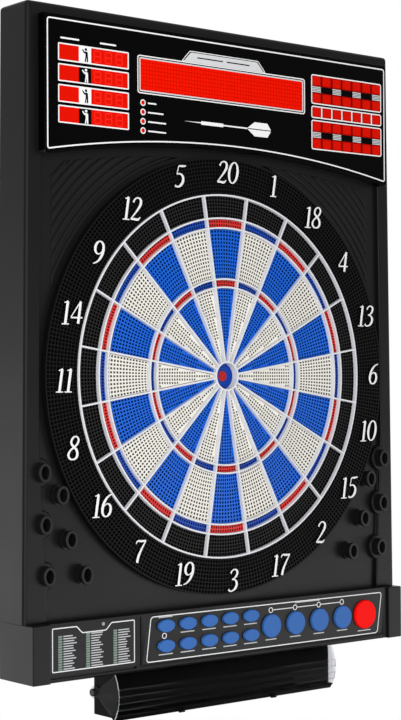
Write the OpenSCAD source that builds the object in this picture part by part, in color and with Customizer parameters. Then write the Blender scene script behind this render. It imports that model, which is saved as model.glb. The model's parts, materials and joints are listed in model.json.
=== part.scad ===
// Electronic dartboard cabinet: a wall-hung cabinet with a segmented target, a score display,
// a button console and an accessory tray behind a swinging visor. Millimetres.
// Outlines are drawn in front elevation, X across and Z up from the bull at the origin.
// Depth is counted from the wall at Y = 0 towards the player, which is along -Y.

/* [Cabinet] */
// Room between the number ring and the cabinet's side at its lower edge
side_space = 28.5; // [25:0.5:45]
// How much narrower the cabinet is across its top than across its lower edge
top_taper = 14.5; // [0:0.5:18]
// Room between the display and the cabinet's top
top_space = 15; // [8:0.5:40]
// Room between the number ring and the cabinet's lower edge
low_space = 12.2; // [12:0.1:40]
// Depth from the wall to the raised side border
cabinet_d = 56; // [52:0.5:70]
// Thickness of the moulded walls
wall = 3; // [2:0.1:3.5]
// Width of the raised border down each side
border_w = 21.5; // [14:0.5:22]
// Width of the raised border at the cabinet's lower edge
border_low_w = 34.5; // [22:0.5:36]
// Distance below the bull at which the border starts to widen
border_bend = 80; // [40:1:90]
// Depth of the sunken field inside the border
field_sink = 6; // [4:0.5:8]
// Thickness of the rear cover
cover_t = 4; // [3:0.5:5]
// Distance between the two keyholes in the rear cover
keyhole_pitch = 406.4; // [300:0.1:480]
// Distance of the keyholes below the cabinet's top
keyhole_drop = 108; // [60:1:150]
// Radius of a keyhole's round entry
keyhole_r = 5; // [4:0.1:6]
// Width of a keyhole's slot
keyhole_slot = 5.2; // [4:0.1:6]

/* [Corner ribs] */
// Number of curved ribs in each upper corner of the field
rib_count = 8; // [5:1:10]
// Distance from one curved rib to the next
rib_pitch = 9.2; // [8:0.1:11]
// Width of a curved rib
rib_w = 5.5; // [2:0.5:7]
// Height of a curved rib above the field
rib_h = 1.6; // [1:0.2:3]
// Distance from the number ring to the first rib
rib_start = 5.5; // [4:0.5:12]
// Distance from the border to the ribs' ends
rib_side = 18; // [6:0.5:24]
// Distance from the display to the ribs' ends
rib_top = 11; // [6:0.5:20]

/* [Target] */
// Radius of the inner bull
inner_bull_r = 6.35; // [5:0.05:8]
// Radius at the middle of the bull's ring
bull_ring_r = 17.8; // [15:0.1:22]
// Width of the inner single beds, from the middle of one ring to the next
inner_single_w = 94.4; // [86:0.1:100]
// Width of the triple beds, from the middle of one ring to the next
triple_w = 10.3; // [8:0.1:12]
// Width of the outer single beds, from the middle of one ring to the next
outer_single_w = 64.4; // [58:0.1:70]
// Width of the double beds, from the middle of one ring to the next
double_w = 12.3; // [9:0.1:14]
// Width of the catch pads, from the middle of one ring to the next
catch_w = 29.1; // [24:0.1:34]
// Distance from the middle of the spider's outer ring to the number ring's edge
number_w = 46.5; // [42:0.1:50]
// Thickness of the spider's blades
blade_t = 2; // [1.6:0.1:2.4]
// Height of the spider's blades
blade_h = 12.5; // [10:0.5:15]
// How far the beds lie behind the front of the spider
bed_sink = 5; // [2:0.1:6]
// Gap round each bed
bed_gap = 0.5; // [0.4:0.05:0.8]
// Travel of a bed when a dart strikes it
bed_travel = 1.5; // [0.5:0.1:1.8]
// How far the bull lies behind the beds
bull_sink = 4.5; // [1:0.1:5]
// Thickness of the damping pad
pad_t = 5; // [3:0.5:8]

/* [Dart holders] */
// Width of the oval hole that takes a dart
holder_bore_w = 10.4; // [9:0.1:12]
// Height of the oval hole that takes a dart
holder_bore_h = 15.2; // [13:0.1:17]
// Width of a holder's rim round the hole
holder_lip = 3.7; // [3:0.1:4]
// Width of a holder's foot round the hole
holder_foot = 4.2; // [4.1:0.1:5]
// Depth of a holder's cup behind the face that it stands on
holder_cup = 38; // [25:1:40]
// Depth from the wall to the holders' rims
holder_front = 65; // [62:0.5:80]
// Width of the border's bay round an outer holder's foot
bay_w = 5; // [4:0.5:6]

/* [Display] */
// Width of the cabinet's border beside the display
display_side = 16; // [13:0.5:24]
// Height of the display from its lower corners to its top
display_h = 165; // [155:1:180]
// How far the display's lower corners reach below the number ring's top
corner_drop = 16.8; // [8:0.1:18]
// Rise of the arched lower edge at its middle
arch_rise = 26.5; // [18:0.5:28]
// How far the display stands in front of the border
display_proud = 13; // [10:0.5:16]
// Width of a score window
score_w = 102.5; // [90:0.5:106]
// Height of a score window
score_h = 20.3; // [16:0.1:22]
// Distance from one score window to the next
score_pitch = 24.3; // [23.5:0.1:25]
// Height of the message window
message_h = 46; // [36:0.5:48]
// Width of the mark windows
mark_w = 129; // [110:1:132]
// Height of the upper and lower mark windows
mark_h = 38.5; // [30:0.5:39]
// Height of the middle mark window
strip_h = 15.5; // [10:0.5:16]

/* [Console] */
// How far each end of the console lies inside the cabinet's side
console_inset = 2.3; // [0:0.1:4]
// Height of the console
console_h = 68.5; // [66:0.5:80]
// Depth of the console from the wall
console_d = 72; // [70:0.5:90]
// How far the middle of the console lies behind its ends
middle_sink = 4; // [2:0.5:5]
// Width of each end of the console
end_w = 24.5; // [20:0.5:28]
// Thickness of the button plate
plate_t = 2.5; // [1.5:0.1:3]
// Width of a small oval button
oval_w = 24.6; // [22:0.1:28]
// Height of a small oval button
oval_h = 15.5; // [13:0.5:17]
// Radius of a large round button
large_r = 14.9; // [12:0.1:16.5]
// Radius of the start button
start_r = 18.9; // [16:0.1:20]
// How far the buttons stand in front of their plate
button_proud = 4; // [3:0.1:6]
// Travel of a button
button_travel = 1.8; // [0.8:0.1:2]
// Gap round each button
button_gap = 0.5; // [0.4:0.05:0.7]

/* [Accessory tray] */
// Length of the tray along the console
tray_w = 350.4; // [300:0.2:380]
// Height of the tray
tray_h = 54.5; // [45:0.5:60]
// Depth from the wall to the tray's back
tray_back = 16; // [14:0.5:24]
// Depth from the wall to the tray's open front
tray_front = 58.4; // [54:0.1:60]
// Thickness of the clear visor
visor_t = 2.4; // [1.8:0.1:3]
// Radius of the pivot screws
pivot_r = 2; // [1.5:0.1:2.5]
// Number of grip bars at each end of the visor
grip_count = 5; // [2:1:6]

/* [Hidden] */
$fn = 96;
// The display's long arc needs more steps to stay true
arch_fn = 720;

// Overshoot of a cut past the face it opens, and the fit of one still piece in another
cut = 1;
fit = 0.3;
screw_r = 1.5;
screw_head_r = 3.7;
screw_head_h = 1.8;
screw_l = 16;
post_r = 5;
post_bite = 1;

// Radii of the target's rings at their middle, from the bull outwards
triple_in_r = bull_ring_r + inner_single_w;
triple_out_r = triple_in_r + triple_w;
double_in_r = triple_out_r + outer_single_w;
double_out_r = double_in_r + double_w;
outer_ring_r = double_out_r + catch_w;
number_ring_r = outer_ring_r + number_w;

// The display, the cabinet and the console are sized round the target
display_corner = number_ring_r - corner_drop;
display_top = display_corner + display_h;
cabinet_top = display_top + top_space;
cabinet_drop = number_ring_r + low_space;
bottom_w = 2 * (number_ring_r + side_space);
top_w = bottom_w - top_taper;
display_w = top_w - 2 * display_side;
console_w = bottom_w - 2 * console_inset;
keyhole_z = cabinet_top - keyhole_drop;
// Rise of a keyhole's slot above its round entry
keyhole_rise = 2.4 * keyhole_r;

// Depths of the cabinet's layers, counted from the wall
field_front = cabinet_d - field_sink;
field_back = field_front - wall;
cavity_front = cabinet_d - wall;
// Height above the bull where the corner ribs end
rib_low = 0.3 * number_ring_r;

// Target: numbers clockwise from the top, and the rings between which the beds lie
NUMBERS = [20, 1, 18, 4, 13, 6, 10, 15, 2, 17, 3, 19, 7, 16, 8, 11, 14, 9, 12, 5];
BED_RINGS = [bull_ring_r, triple_in_r, triple_out_r, double_in_r, double_out_r];
sector = 360 / len(NUMBERS);
spider_back = field_front;
spider_front = spider_back + blade_h;
flange_t = 2;
flange_inset = 10.5;
flange_r = number_ring_r - flange_inset;
bed_front = spider_front - bed_sink;
// A lip on each bed's back keeps it behind the spider
bed_lip_t = 0.9;
bed_lip_w = 1.2;
bed_back = spider_back - fit - bed_lip_t;
film_t = 0.5;
film_front = bed_back - bed_travel - fit;
pad_front = film_front - film_t;
plate_front = pad_front - pad_t;
hole_margin = 13.6;
stack_margin = 4;
rim_margin = 6;
rim_w = 16;
board_hole_r = outer_ring_r + hole_margin;
stack_r = board_hole_r - stack_margin;
rim_in_r = board_hole_r + rim_margin;
ring_sink = 2;
ring_front = spider_front - ring_sink;
ring_wall = 2.5;
// The number ring starts outside the spider's outer ring
ring_space = 0.5;
ring_bore_r = outer_ring_r + blade_t / 2 + ring_space;

// Display: arc of its lower edge, and the upper left corners of its windows
display_front = cabinet_d + display_proud;
arch_r = (pow(display_w / 2, 2) + pow(arch_rise, 2)) / (2 * arch_rise);
arch_centre = display_corner + arch_rise - arch_r;
field_tuck = 0.5;
score_margin = 19;
score_drop = 33.7;
message_space = 13.3;
message_end = 11.7;
message_drop = 34.5;
mark_margin = 9.5;
mark_drop = 26.5;
mark_gap = 3;
score_x = -display_w / 2 + score_margin;
score_z = display_top - score_drop;
message_x = score_x + score_w + message_space;
message_z = display_top - message_drop;
mark_x = display_w / 2 - mark_margin - mark_w;
message_w = mark_x - message_end - message_x;
mark_z = display_top - mark_drop;
cable_gap_w = 60;
cable_gap_h = 24;
lens_t = 2;
lens_sink = 0.4;
board_t = 1.6;
led_r = 2.2;
led_pitch = 11.3;
led_inset = 7.5;
led_x = message_x + led_inset;
led_z = message_z - message_h - led_pitch;
// Inset of the lamp blocks from their windows
lamp_inset = 2;
// Windows as [left, top, width, height]
WINDOWS = concat(
    [for (i = [0:3]) [score_x, score_z - i * score_pitch, score_w, score_h]],
    [[message_x, message_z, message_w, message_h],
     [mark_x, mark_z, mark_w, mark_h],
     [mark_x, mark_z - mark_h - mark_gap, mark_w, strip_h],
     [mark_x, mark_z - mark_h - strip_h - 2 * mark_gap, mark_w, mark_h]]);
INDICATORS = [for (i = [0:3]) [led_x, led_z - i * led_pitch]];

// Outer holders as [inset from the cabinet's side, height above its lower edge]
OUTER_HOLDERS = [[23.5, 175], [25.7, 114.6], [30.7, 54.5]];
// Inner holders as [angle below the bull's level, distance outside the number ring]
INNER_HOLDERS = [[28.8, 13.6], [38.5, 33], [47, 45.7]];
holder_undercut = 1.3;
holder_step = 4;
holder_wall = 1.5;
holder_end_r = 0.36 * holder_bore_w;

// Console: its levels, and the places of plates and buttons
console_top = -cabinet_drop;
console_base = console_top - console_h;
middle_w = console_w - 2 * end_w;
middle_front = console_d - middle_sink;
ledge_t = 2.5;
middle_back = middle_front - plate_t - ledge_t;
lip = 2.5;
lip_groove_h = 3;
plate_margin = 2.5;
plate_lift = 5;
plate_top = console_top - plate_margin;
plate_base = console_base + lip + plate_lift;
plate_h = plate_top - plate_base;
// Both ends of the button plate lean by this much over its height
plate_lean = 8;
plate_start = 143;
list_margin = 1.5;
plate_left = -middle_w / 2 + plate_start;
plate_right = middle_w / 2 - plate_margin;
list_left = -middle_w / 2 + list_margin;
plate_space = 8;
list_right = plate_left - plate_lean - plate_space;
list_t = 1.5;
notch_start = 38;
notch_left = list_left + notch_start;
notch_w = 50;
notch_d = 8;
groove_edge = 1;
groove_d = 1.2;
ledge_w = 4;
oval_end_r = 0.36 * oval_h;
oval_drop = 14.3;
row_pitch = 24.4;
large_drop = 30.2;
// The buttons are spread over their plate's width
plate_w = plate_right - plate_left;
oval_start = 0.0697 * plate_w;
oval_pitch = 0.0839 * plate_w;
large_start = 0.0847 * plate_w;
large_pitch = 0.103 * plate_w;
start_space = 0.1011 * plate_w;
oval_x = plate_left + oval_start;
oval_z = plate_top - oval_drop;
large_x = oval_x + 4 * oval_pitch + large_start;
large_z = plate_top - large_drop;
start_x = large_x + 3 * large_pitch + start_space;
flange_w = 1.5;
button_flange_t = 1.2;
button_back = middle_front - plate_t - fit - button_flange_t;
switch_h = 4;
switch_w = 6;
switch_front = button_back - button_travel - fit;
button_board_front = switch_front - switch_h;
OVALS = [for (row = [0, 1], i = [0:4]) [oval_x + i * oval_pitch, oval_z - row * row_pitch]];
LARGES = [for (i = [0:3]) [large_x + i * large_pitch, large_z]];
START = [start_x, large_z];
console_led_rise = 19.8;
console_led_inset = 2;
CONSOLE_LEDS = concat([[oval_x - console_led_inset, oval_z - row_pitch / 2]],
    [for (p = LARGES) [p[0], p[1] + console_led_rise]]);
// Posts that carry the button board behind its plate
plate_post_drop = 8;
PLATE_POSTS = [[oval_x - oval_pitch / 2, oval_z - row_pitch / 2],
    [large_x - large_start / 2, plate_top - plate_post_drop],
    [start_x - start_space / 2, plate_top - plate_post_drop],
    [oval_x + 2.5 * oval_pitch, oval_z - row_pitch / 2]];
plate_post_r = 2.2;

// Tray and visor: pivot, radii and reach of the visor
tray_top = console_base;
tray_wall = 3;
pivot_inset = 4;
pivot_d = tray_back + pivot_inset;
pivot_z = tray_top - tray_h / 2;
visor_gap = 0.6;
tray_corner_r = norm([tray_front - pivot_d, tray_h / 2]);
visor_in_r = tray_corner_r + visor_gap;
visor_out_r = visor_in_r + visor_t;
visor_top_gap = 1;
visor_rise = asin((tray_h / 2 - visor_top_gap) / visor_out_r);
visor_lap = 0.8;
visor_fall = atan2(tray_h / 2, tray_front - pivot_d) + visor_lap;
cheek_gap = 0.5;
cheek_in = tray_w / 2 + cheek_gap;
cheek_out = cheek_in + visor_t;
hub_r = 7.5;
pivot_gap = 0.3;
pivot_play = 0.1;
knob_in = cheek_out + pivot_gap;
knob_r = 4.8;
knob_h = 3.6;
grip_h = 1;
grip_angle = 1.6;
grip_step = 9.5;
grip_first = 10;
grip_end = 88;
grip_trim = 8;
finger_x = 75.5;
finger_w = 9;
finger_h = 2.2;
finger_angle = 2;

// Inner pieces
speaker_r = 25;
speaker_h = 18;
cone_h = 5;
cone_edge = 4;
basket_t = 2.5;
magnet_r = 13.5;
magnet_h = 7;
// Middle of the console's floor beside the tray
floor_x = (tray_w + console_w) / 4;
speaker_x = -floor_x;
speaker_d = console_d / 2;
grille_bars = 5;
grille_gap = 3;
grille_pitch = 7;
grille_l = 35;
socket_x = floor_x;
socket_w = 14;
socket_h = 12;
socket_r = 3.2;
socket_pin_r = 1;
socket_wall = 0.6;
board_w = 120;
board_h = 70;
board_rise = 47;
board_stand = 6;
board_inset = 6;
board_post_r = 4;
board_z = board_rise - cabinet_drop;
board_back = cover_t + board_stand;
chip_w = 24;
chip_h = 3;
plug_w = 20;
plug_h = 9;
// Screws down each side, evenly between the cabinet's top and its lower edge
screw_count = 4;
screw_margin = 25;
screw_pitch = (cabinet_top + cabinet_drop - 2 * screw_margin) / (screw_count - 1);

// Half of the cabinet's width at height z
function half_w(z) =
    (bottom_w + (top_w - bottom_w) * (z + cabinet_drop) / (cabinet_top + cabinet_drop)) / 2;
// Height above the cabinet's lower edge as height above the bull
function up(h) = h - cabinet_drop;
// Places of the holders on the side given by its sign
function outer_at(p, side) = [side * (half_w(up(p[1])) - p[0]), up(p[1])];
function inner_at(p, side) = (number_ring_r + p[1]) * [side * cos(p[0]), -sin(p[0])];
OUTER_PLACES = [for (side = [-1, 1], p = OUTER_HOLDERS) outer_at(p, side)];
INNER_PLACES = [for (side = [-1, 1], p = INNER_HOLDERS) inner_at(p, side)];
// Places of the screw posts on the side given by its sign
function post_at(z, side) = [side * (half_w(z) - wall - post_r + post_bite), z];
SCREW_POSTS = [for (side = [-1, 1], i = [0:screw_count - 1])
    post_at(cabinet_top - screw_margin - i * screw_pitch, side)];
console_post_x = console_w / 2 - wall - post_r + post_bite;
CONSOLE_POSTS = [for (side = [-1, 1]) [side * console_post_x, (console_top + console_base) / 2]];

// Extrudes a front elevation between two depths
module slab(back, front)
    translate([0, -back, 0]) rotate([90, 0, 0]) linear_extrude(front - back) children();

// Extrudes a side elevation, depth to the left and height up, between two places along X
module bar(from, to)
    translate([from, 0, 0]) rotate([90, 0, 90]) linear_extrude(to - from) mirror([1, 0]) children();

// Turns a profile of radius and depth about the bull's axis
module turned() rotate([90, 0, 0]) rotate_extrude() children();

module at(places) for (p = places) translate(p) children();

module box_2d(left, top, w, h) translate([left, top - h]) square([w, h]);

module ring_2d(outer, inner) difference() { circle(outer); circle(inner); }

// Four-centred oval, w across and h high, with ends of radius r
module oval_2d(w, h, r) {
    reach = w / 2 - r;
    rise = h / 2 - r;
    drop = (reach * reach - rise * rise) / (2 * rise);
    big = drop + h / 2;
    meet = reach * big / (big - r);
    intersection() {
        translate([0, -drop]) circle(big);
        translate([0, drop]) circle(big);
        square([2 * meet, h], center = true);
    }
    for (side = [-1, 1]) translate([side * reach, 0]) circle(r);
}

module cabinet_2d(inset) {
    low = half_w(-cabinet_drop) - inset;
    high = half_w(cabinet_top) - inset;
    polygon([[-low, inset - cabinet_drop], [low, inset - cabinet_drop],
        [high, cabinet_top - inset], [-high, cabinet_top - inset]]);
}

// Sunken field, grown by a margin: below the display's arch and between the borders
module field_2d(grow) {
    low = half_w(-cabinet_drop) - border_low_w + grow;
    bend = half_w(-border_bend) - border_w + grow;
    high = half_w(cabinet_top) - border_w + grow;
    difference() {
        intersection() {
            polygon([[-low, -cabinet_drop - cut], [low, -cabinet_drop - cut], [bend, -border_bend],
                [high, cabinet_top], [-high, cabinet_top], [-bend, -border_bend]]);
            translate([0, arch_centre]) circle(arch_r + field_tuck + grow, $fn = arch_fn);
        }
        at(OUTER_PLACES) holder_2d(holder_foot + bay_w - grow);
    }
}

module display_2d(inset) difference() {
    box_2d(-display_w / 2 + inset, display_top - inset, display_w - 2 * inset,
        display_top - display_corner - inset);
    translate([0, arch_centre]) circle(arch_r + inset, $fn = arch_fn);
}

module window_2d(w, inset) box_2d(w[0] + inset, w[1] - inset, w[2] - 2 * inset, w[3] - 2 * inset);

module cover_2d(grow) {
    low = half_w(-cabinet_drop) - wall - fit + grow;
    high = half_w(cabinet_top) - wall - fit + grow;
    side = console_w / 2 - wall - fit + grow;
    top = cabinet_top - wall - fit + grow;
    base = console_base + wall + fit - grow;
    polygon([[-side, base], [side, base], [side, console_top], [low, console_top],
        [high, top], [-high, top], [-low, console_top], [-side, console_top]]);
}

// Wedge of one number, kept clear of the two blades beside it
module wedge_2d(gap) {
    apex = (blade_t / 2 + gap) / sin(sector / 2);
    reach = number_ring_r;
    polygon([[0, apex], [reach * tan(sector / 2), apex + reach], [-reach * tan(sector / 2), apex + reach]]);
}

module cell_2d(inner, outer, gap) intersection() {
    ring_2d(outer - blade_t / 2 - gap, inner + blade_t / 2 + gap);
    wedge_2d(gap);
}

module button_plate_2d(inset) polygon([
    [plate_left + inset, plate_top - inset], [plate_right - inset, plate_top - inset],
    [plate_right - plate_lean - inset, plate_base + inset],
    [plate_left - plate_lean + inset, plate_base + inset]]);

module list_plate_2d(inset) polygon([
    [list_left + inset, plate_top - inset], [notch_left, plate_top - inset],
    [notch_left + notch_d, plate_top - notch_d], [notch_left + notch_w - notch_d, plate_top - notch_d],
    [notch_left + notch_w, plate_top - inset], [list_right - inset, plate_top - inset],
    [list_right - inset, plate_base + inset], [list_left + inset, plate_base + inset]]);

module buttons_2d(grow) {
    at(OVALS) oval_2d(oval_w + 2 * grow, oval_h + 2 * grow, oval_end_r + grow);
    at(LARGES) circle(large_r + grow);
    translate(START) circle(start_r + grow);
}

module front_housing() color("#2e2f31") {
    difference() {
        union() {
            difference() {
                slab(0, cabinet_d) cabinet_2d(0);
                slab(-cut, field_back) cabinet_2d(wall);
                slab(field_back - cut, cavity_front) difference() {
                    cabinet_2d(wall);
                    field_2d(wall);
                }
                slab(field_front, cabinet_d + cut) field_2d(0);
            }
            for (p = SCREW_POSTS) slab(cover_t, cavity_front) translate(p) circle(post_r);
            slab(field_front - cut, field_front + rib_h) corner_ribs_2d();
        }
        slab(field_back - cut, field_front + cut) circle(board_hole_r);
        slab(field_back - cut, cabinet_d + cut) cable_gap_2d();
        slab(-cut, cover_t) cover_2d(fit);
        for (p = SCREW_POSTS) slab(cover_t - cut, screw_l + cut) translate(p) circle(screw_r);
        slab(field_back - cut, cabinet_d + cut)
            at(concat(OUTER_PLACES, INNER_PLACES)) holder_2d(holder_wall + fit);
    }
}

// Opening behind the display for its cable
module cable_gap_2d() translate([0, message_z - message_h / 2])
    square([cable_gap_w, cable_gap_h], center = true);

module corner_ribs_2d() intersection() {
    for (i = [0:rib_count - 1]) {
        rib_r = number_ring_r + rib_start + i * rib_pitch;
        ring_2d(rib_r + rib_w, rib_r);
    }
    field_2d(-rib_top);
    cabinet_2d(border_w + rib_side);
    box_2d(-bottom_w, cabinet_top, 2 * bottom_w, cabinet_top - rib_low);
}

module rear_cover() color("#232426") {
    difference() {
        union() {
            slab(0, cover_t) cover_2d(0);
            slab(cover_t - cut, board_back) at(board_corners()) circle(board_post_r);
        }
        for (side = [-1, 1]) slab(-cut, cover_t + cut)
            translate([side * keyhole_pitch / 2, keyhole_z]) keyhole_2d();
        for (p = concat(SCREW_POSTS, CONSOLE_POSTS)) {
            slab(-cut, cover_t + cut) translate(p) circle(screw_r + fit);
            slab(-cut, screw_head_h + fit) translate(p) circle(screw_head_r + fit);
        }
    }
}

module keyhole_2d() {
    circle(keyhole_r);
    translate([-keyhole_slot / 2, 0]) square([keyhole_slot, keyhole_rise]);
    translate([0, keyhole_rise]) circle(keyhole_slot / 2);
}

function board_corners() = [for (sx = [-1, 1], sz = [-1, 1])
    [sx * (board_w / 2 - board_inset), board_z + sz * (board_h / 2 - board_inset)]];

module dart_holders() color("#1f2022") {
    for (p = OUTER_PLACES) dart_holder(p, cabinet_d);
    for (p = INNER_PLACES) dart_holder(p, field_front);
}

module dart_holder(place, base) translate([place[0], 0, place[1]]) difference() {
    union() {
        slab(base - holder_cup, base + cut) holder_2d(holder_wall);
        slab(base, base + holder_step) holder_2d(holder_foot);
        slab(base, holder_front) holder_2d(holder_lip - holder_undercut);
        slab(holder_front - holder_step, holder_front) holder_2d(holder_lip);
    }
    slab(base - holder_cup + holder_wall, holder_front + cut) holder_2d(0);
}

// Upright oval of a holder's hole, grown by a margin
module holder_2d(grow) rotate(90)
    oval_2d(holder_bore_h + 2 * grow, holder_bore_w + 2 * grow, holder_end_r + grow);

module display_fascia() color("#0d0d0f") difference() {
    slab(cabinet_d, display_front) display_2d(0);
    slab(cabinet_d - cut, display_front - wall) display_2d(wall);
    for (w = WINDOWS) slab(cabinet_d, display_front + cut) window_2d(w, 0);
    slab(cabinet_d, display_front + cut) at(INDICATORS) circle(led_r + fit);
}

module display_lenses() color("#e81c0a")
    for (w = WINDOWS) slab(display_front - lens_sink - lens_t, display_front - lens_sink) window_2d(w, fit);

module display_board() color("#1c4a2c") {
    slab(cabinet_d, cabinet_d + board_t) display_2d(wall + fit);
    slab(cabinet_d, display_front - lens_sink - lens_t - fit) for (w = WINDOWS) window_2d(w, lamp_inset);
    slab(cabinet_d, display_front) at(INDICATORS) circle(led_r);
}

module number_ring() color("#17181a") turned() polygon([
    [ring_bore_r, field_front + flange_t], [ring_bore_r + ring_wall, field_front + flange_t],
    [ring_bore_r + ring_wall, ring_front - ring_wall], [number_ring_r - ring_wall, ring_front - ring_wall],
    [number_ring_r - ring_wall, field_front], [number_ring_r, field_front],
    [number_ring_r, ring_front], [ring_bore_r, ring_front]]);

module spider() color("#cdd0d4") {
    slab(spider_back, spider_front) {
        for (r = concat(BED_RINGS, [outer_ring_r])) ring_2d(r + blade_t / 2, r - blade_t / 2);
        for (k = [0:len(NUMBERS) - 1]) rotate(sector * (k + 0.5))
            translate([-blade_t / 2, bull_ring_r]) square([blade_t, outer_ring_r - bull_ring_r]);
    }
    slab(spider_back, spider_back + flange_t) ring_2d(flange_r, outer_ring_r - blade_t / 2);
}

module catch_pads() color("#141416") slab(spider_back, bed_front)
    for (k = [0:len(NUMBERS) - 1]) rotate(-sector * k) cell_2d(double_out_r, outer_ring_r, fit);

module sensor_film() color("#c9a86a") slab(pad_front, film_front) circle(stack_r);

module backing_pad() color("#3a3a3e") slab(plate_front, pad_front) circle(stack_r);

module backing_plate() color("#5a4a3a") {
    slab(plate_front - wall, plate_front) circle(rim_in_r + rim_w);
    slab(plate_front - cut, field_back) ring_2d(rim_in_r + rim_w, rim_in_r);
}

// All four beds of one number
module bed(k) {
    tones = k % 2 == 0 ? ["#1f64d2", "#d22d2d"] : ["#e8e4d8", "#1f64d2"];
    for (i = [0:3]) color(tones[i % 2]) {
        slab(bed_back, bed_front) rotate(-sector * k)
            cell_2d(BED_RINGS[i], BED_RINGS[i + 1], bed_gap);
        slab(bed_back, bed_back + bed_lip_t) rotate(-sector * k)
            cell_2d(BED_RINGS[i], BED_RINGS[i + 1], bed_gap - bed_lip_w);
    }
}

module outer_bull() color("#1f64d2") {
    outer_bull_r = bull_ring_r - blade_t / 2 - bed_gap;
    slab(bed_back, bed_front - bull_sink) ring_2d(outer_bull_r, inner_bull_r + bed_gap);
    slab(bed_back, bed_back + bed_lip_t) ring_2d(outer_bull_r + bed_lip_w, inner_bull_r + bed_gap);
}

module inner_bull() color("#d22d2d") slab(bed_back, bed_front - bull_sink) circle(inner_bull_r);

module console_housing() color("#2b2c2e") difference() {
    union() {
        difference() {
            slab(0, console_d) box_2d(-console_w / 2, console_top, console_w, console_h);
            slab(-cut, middle_back)
                box_2d(wall - console_w / 2, console_top - wall,
                    console_w - 2 * wall, console_h - 2 * wall);
        }
        for (p = CONSOLE_POSTS) slab(cover_t, middle_back + cut) translate(p) circle(post_r);
    }
    slab(middle_front, console_d + cut)
        box_2d(-middle_w / 2, console_top + cut, middle_w, console_h + 2 * cut);
    bar(-middle_w / 2, middle_w / 2) lip_cut_2d();
    bar(list_left, list_right) lip_groove_2d();
    slab(middle_front - list_t, middle_front + cut) list_plate_2d(0);
    slab(middle_front - plate_t, middle_front + cut) button_plate_2d(0);
    slab(middle_back - cut, middle_front + cut) button_plate_2d(ledge_w);
    slab(middle_front - groove_d, middle_front + cut) groove_2d();
    slab(-cut, cover_t) cover_2d(fit);
    for (p = CONSOLE_POSTS) slab(cover_t - cut, screw_l + cut) translate(p) circle(screw_r);
    translate([socket_x, -console_d / 2, console_base - cut])
        cylinder(wall + 2 * cut, r = socket_r + 2 * fit);
    for (i = [1:grille_bars])
        translate([speaker_x + (i - (grille_bars + 1) / 2) * grille_pitch - grille_gap / 2,
            -speaker_d - grille_l / 2, console_base - cut]) cube([grille_gap, grille_l, wall + 2 * cut]);
}

// Slope under the front edge of the console's middle
module lip_cut_2d() polygon([
    [middle_front + cut, console_base - cut], [middle_front + cut, console_base + lip + cut],
    [middle_front - lip - cut, console_base - cut]]);

// Dark groove under the list plate
module lip_groove_2d() box_2d(middle_front - ledge_t, plate_base, ledge_t + cut, lip_groove_h);

// Groove between the two plates
module groove_2d() box_2d(list_right + groove_edge, plate_top, plate_space - 2 * groove_edge, plate_h);

module button_plate() color("#1a1b1d") {
    difference() {
        union() {
            slab(middle_front - plate_t, middle_front) button_plate_2d(fit);
            slab(button_board_front, middle_front - plate_t + cut) at(PLATE_POSTS) circle(plate_post_r);
        }
        slab(middle_front - plate_t - cut, middle_front + cut) buttons_2d(button_gap);
        slab(middle_front - plate_t - cut, middle_front + cut) at(CONSOLE_LEDS) circle(led_r + fit);
    }
}

module list_plate() color("#1a1b1d") slab(middle_front - list_t, middle_front) list_plate_2d(fit);

module button_board() color("#1c4a2c") {
    slab(button_board_front - board_t, button_board_front) button_plate_2d(ledge_w + fit);
    slab(button_board_front - board_t, switch_front)
        at(concat(OVALS, LARGES, [START])) square(switch_w, center = true);
    slab(button_board_front - board_t, middle_front) at(CONSOLE_LEDS) circle(led_r);
}

// A button's cap through the plate, and the flange that keeps it behind the plate
module button_body(place) translate([place[0], 0, place[1]]) {
    slab(button_back, middle_front + button_proud) children(0);
    slab(button_back, button_back + button_flange_t) children(1);
}

module small_button(i) color("#3e73c3") button_body(OVALS[i]) {
    oval_2d(oval_w, oval_h, oval_end_r);
    oval_2d(oval_w + 2 * flange_w, oval_h + 2 * flange_w, oval_end_r + flange_w);
}

module large_button(i) color("#3e73c3") button_body(LARGES[i]) {
    circle(large_r);
    circle(large_r + flange_w);
}

module start_button() color("#fa1e1e") button_body(START) {
    circle(start_r);
    circle(start_r + flange_w / 2);
}

module accessory_tray() color("#303133") difference() {
    bar(-tray_w / 2, tray_w / 2) tray_2d(0);
    bar(tray_wall - tray_w / 2, tray_w / 2 - tray_wall) tray_2d(tray_wall);
    bar(-tray_w / 2 - cut, tray_w / 2 + cut) translate([pivot_d, pivot_z]) circle(pivot_r + fit / 2);
}

// Side of the tray; the inset outline runs out through the front
module tray_2d(inset) box_2d(tray_back + inset, tray_top - inset,
    tray_front - tray_back + (inset > 0 ? cut : 0), tray_h - 2 * inset);

module pivot_screws() color("#8a8c90") for (side = [-1, 1]) mirror([side > 0 ? 1 : 0, 0, 0]) {
    bar(-knob_in, tray_wall - tray_w / 2) translate([pivot_d, pivot_z]) circle(pivot_r);
    bar(-knob_in - knob_h, -knob_in) translate([pivot_d, pivot_z]) circle(knob_r);
}

module visor() color("#3c4046", 0.6) {
    for (side = [-1, 1]) mirror([side > 0 ? 1 : 0, 0, 0]) {
        bar(-cheek_out, -cheek_in) difference() {
            visor_side_2d();
            translate([pivot_d, pivot_z]) circle(pivot_r + pivot_play);
        }
        for (i = [0:grip_count - 1]) bar(-cheek_out, -grip_end - i * grip_trim)
            translate([pivot_d, pivot_z]) arc_2d(visor_out_r - grip_h, visor_out_r + grip_h,
                grip_at(i) - grip_angle / 2, grip_at(i) + grip_angle / 2);
        bar(-finger_x - finger_w / 2, -finger_x + finger_w / 2) translate([pivot_d, pivot_z])
            arc_2d(visor_in_r, visor_out_r + finger_h, -visor_fall, -visor_fall + finger_angle);
    }
    bar(-cheek_out, cheek_out) translate([pivot_d, pivot_z])
        arc_2d(visor_in_r, visor_out_r, -visor_fall, visor_rise);
}

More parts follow.
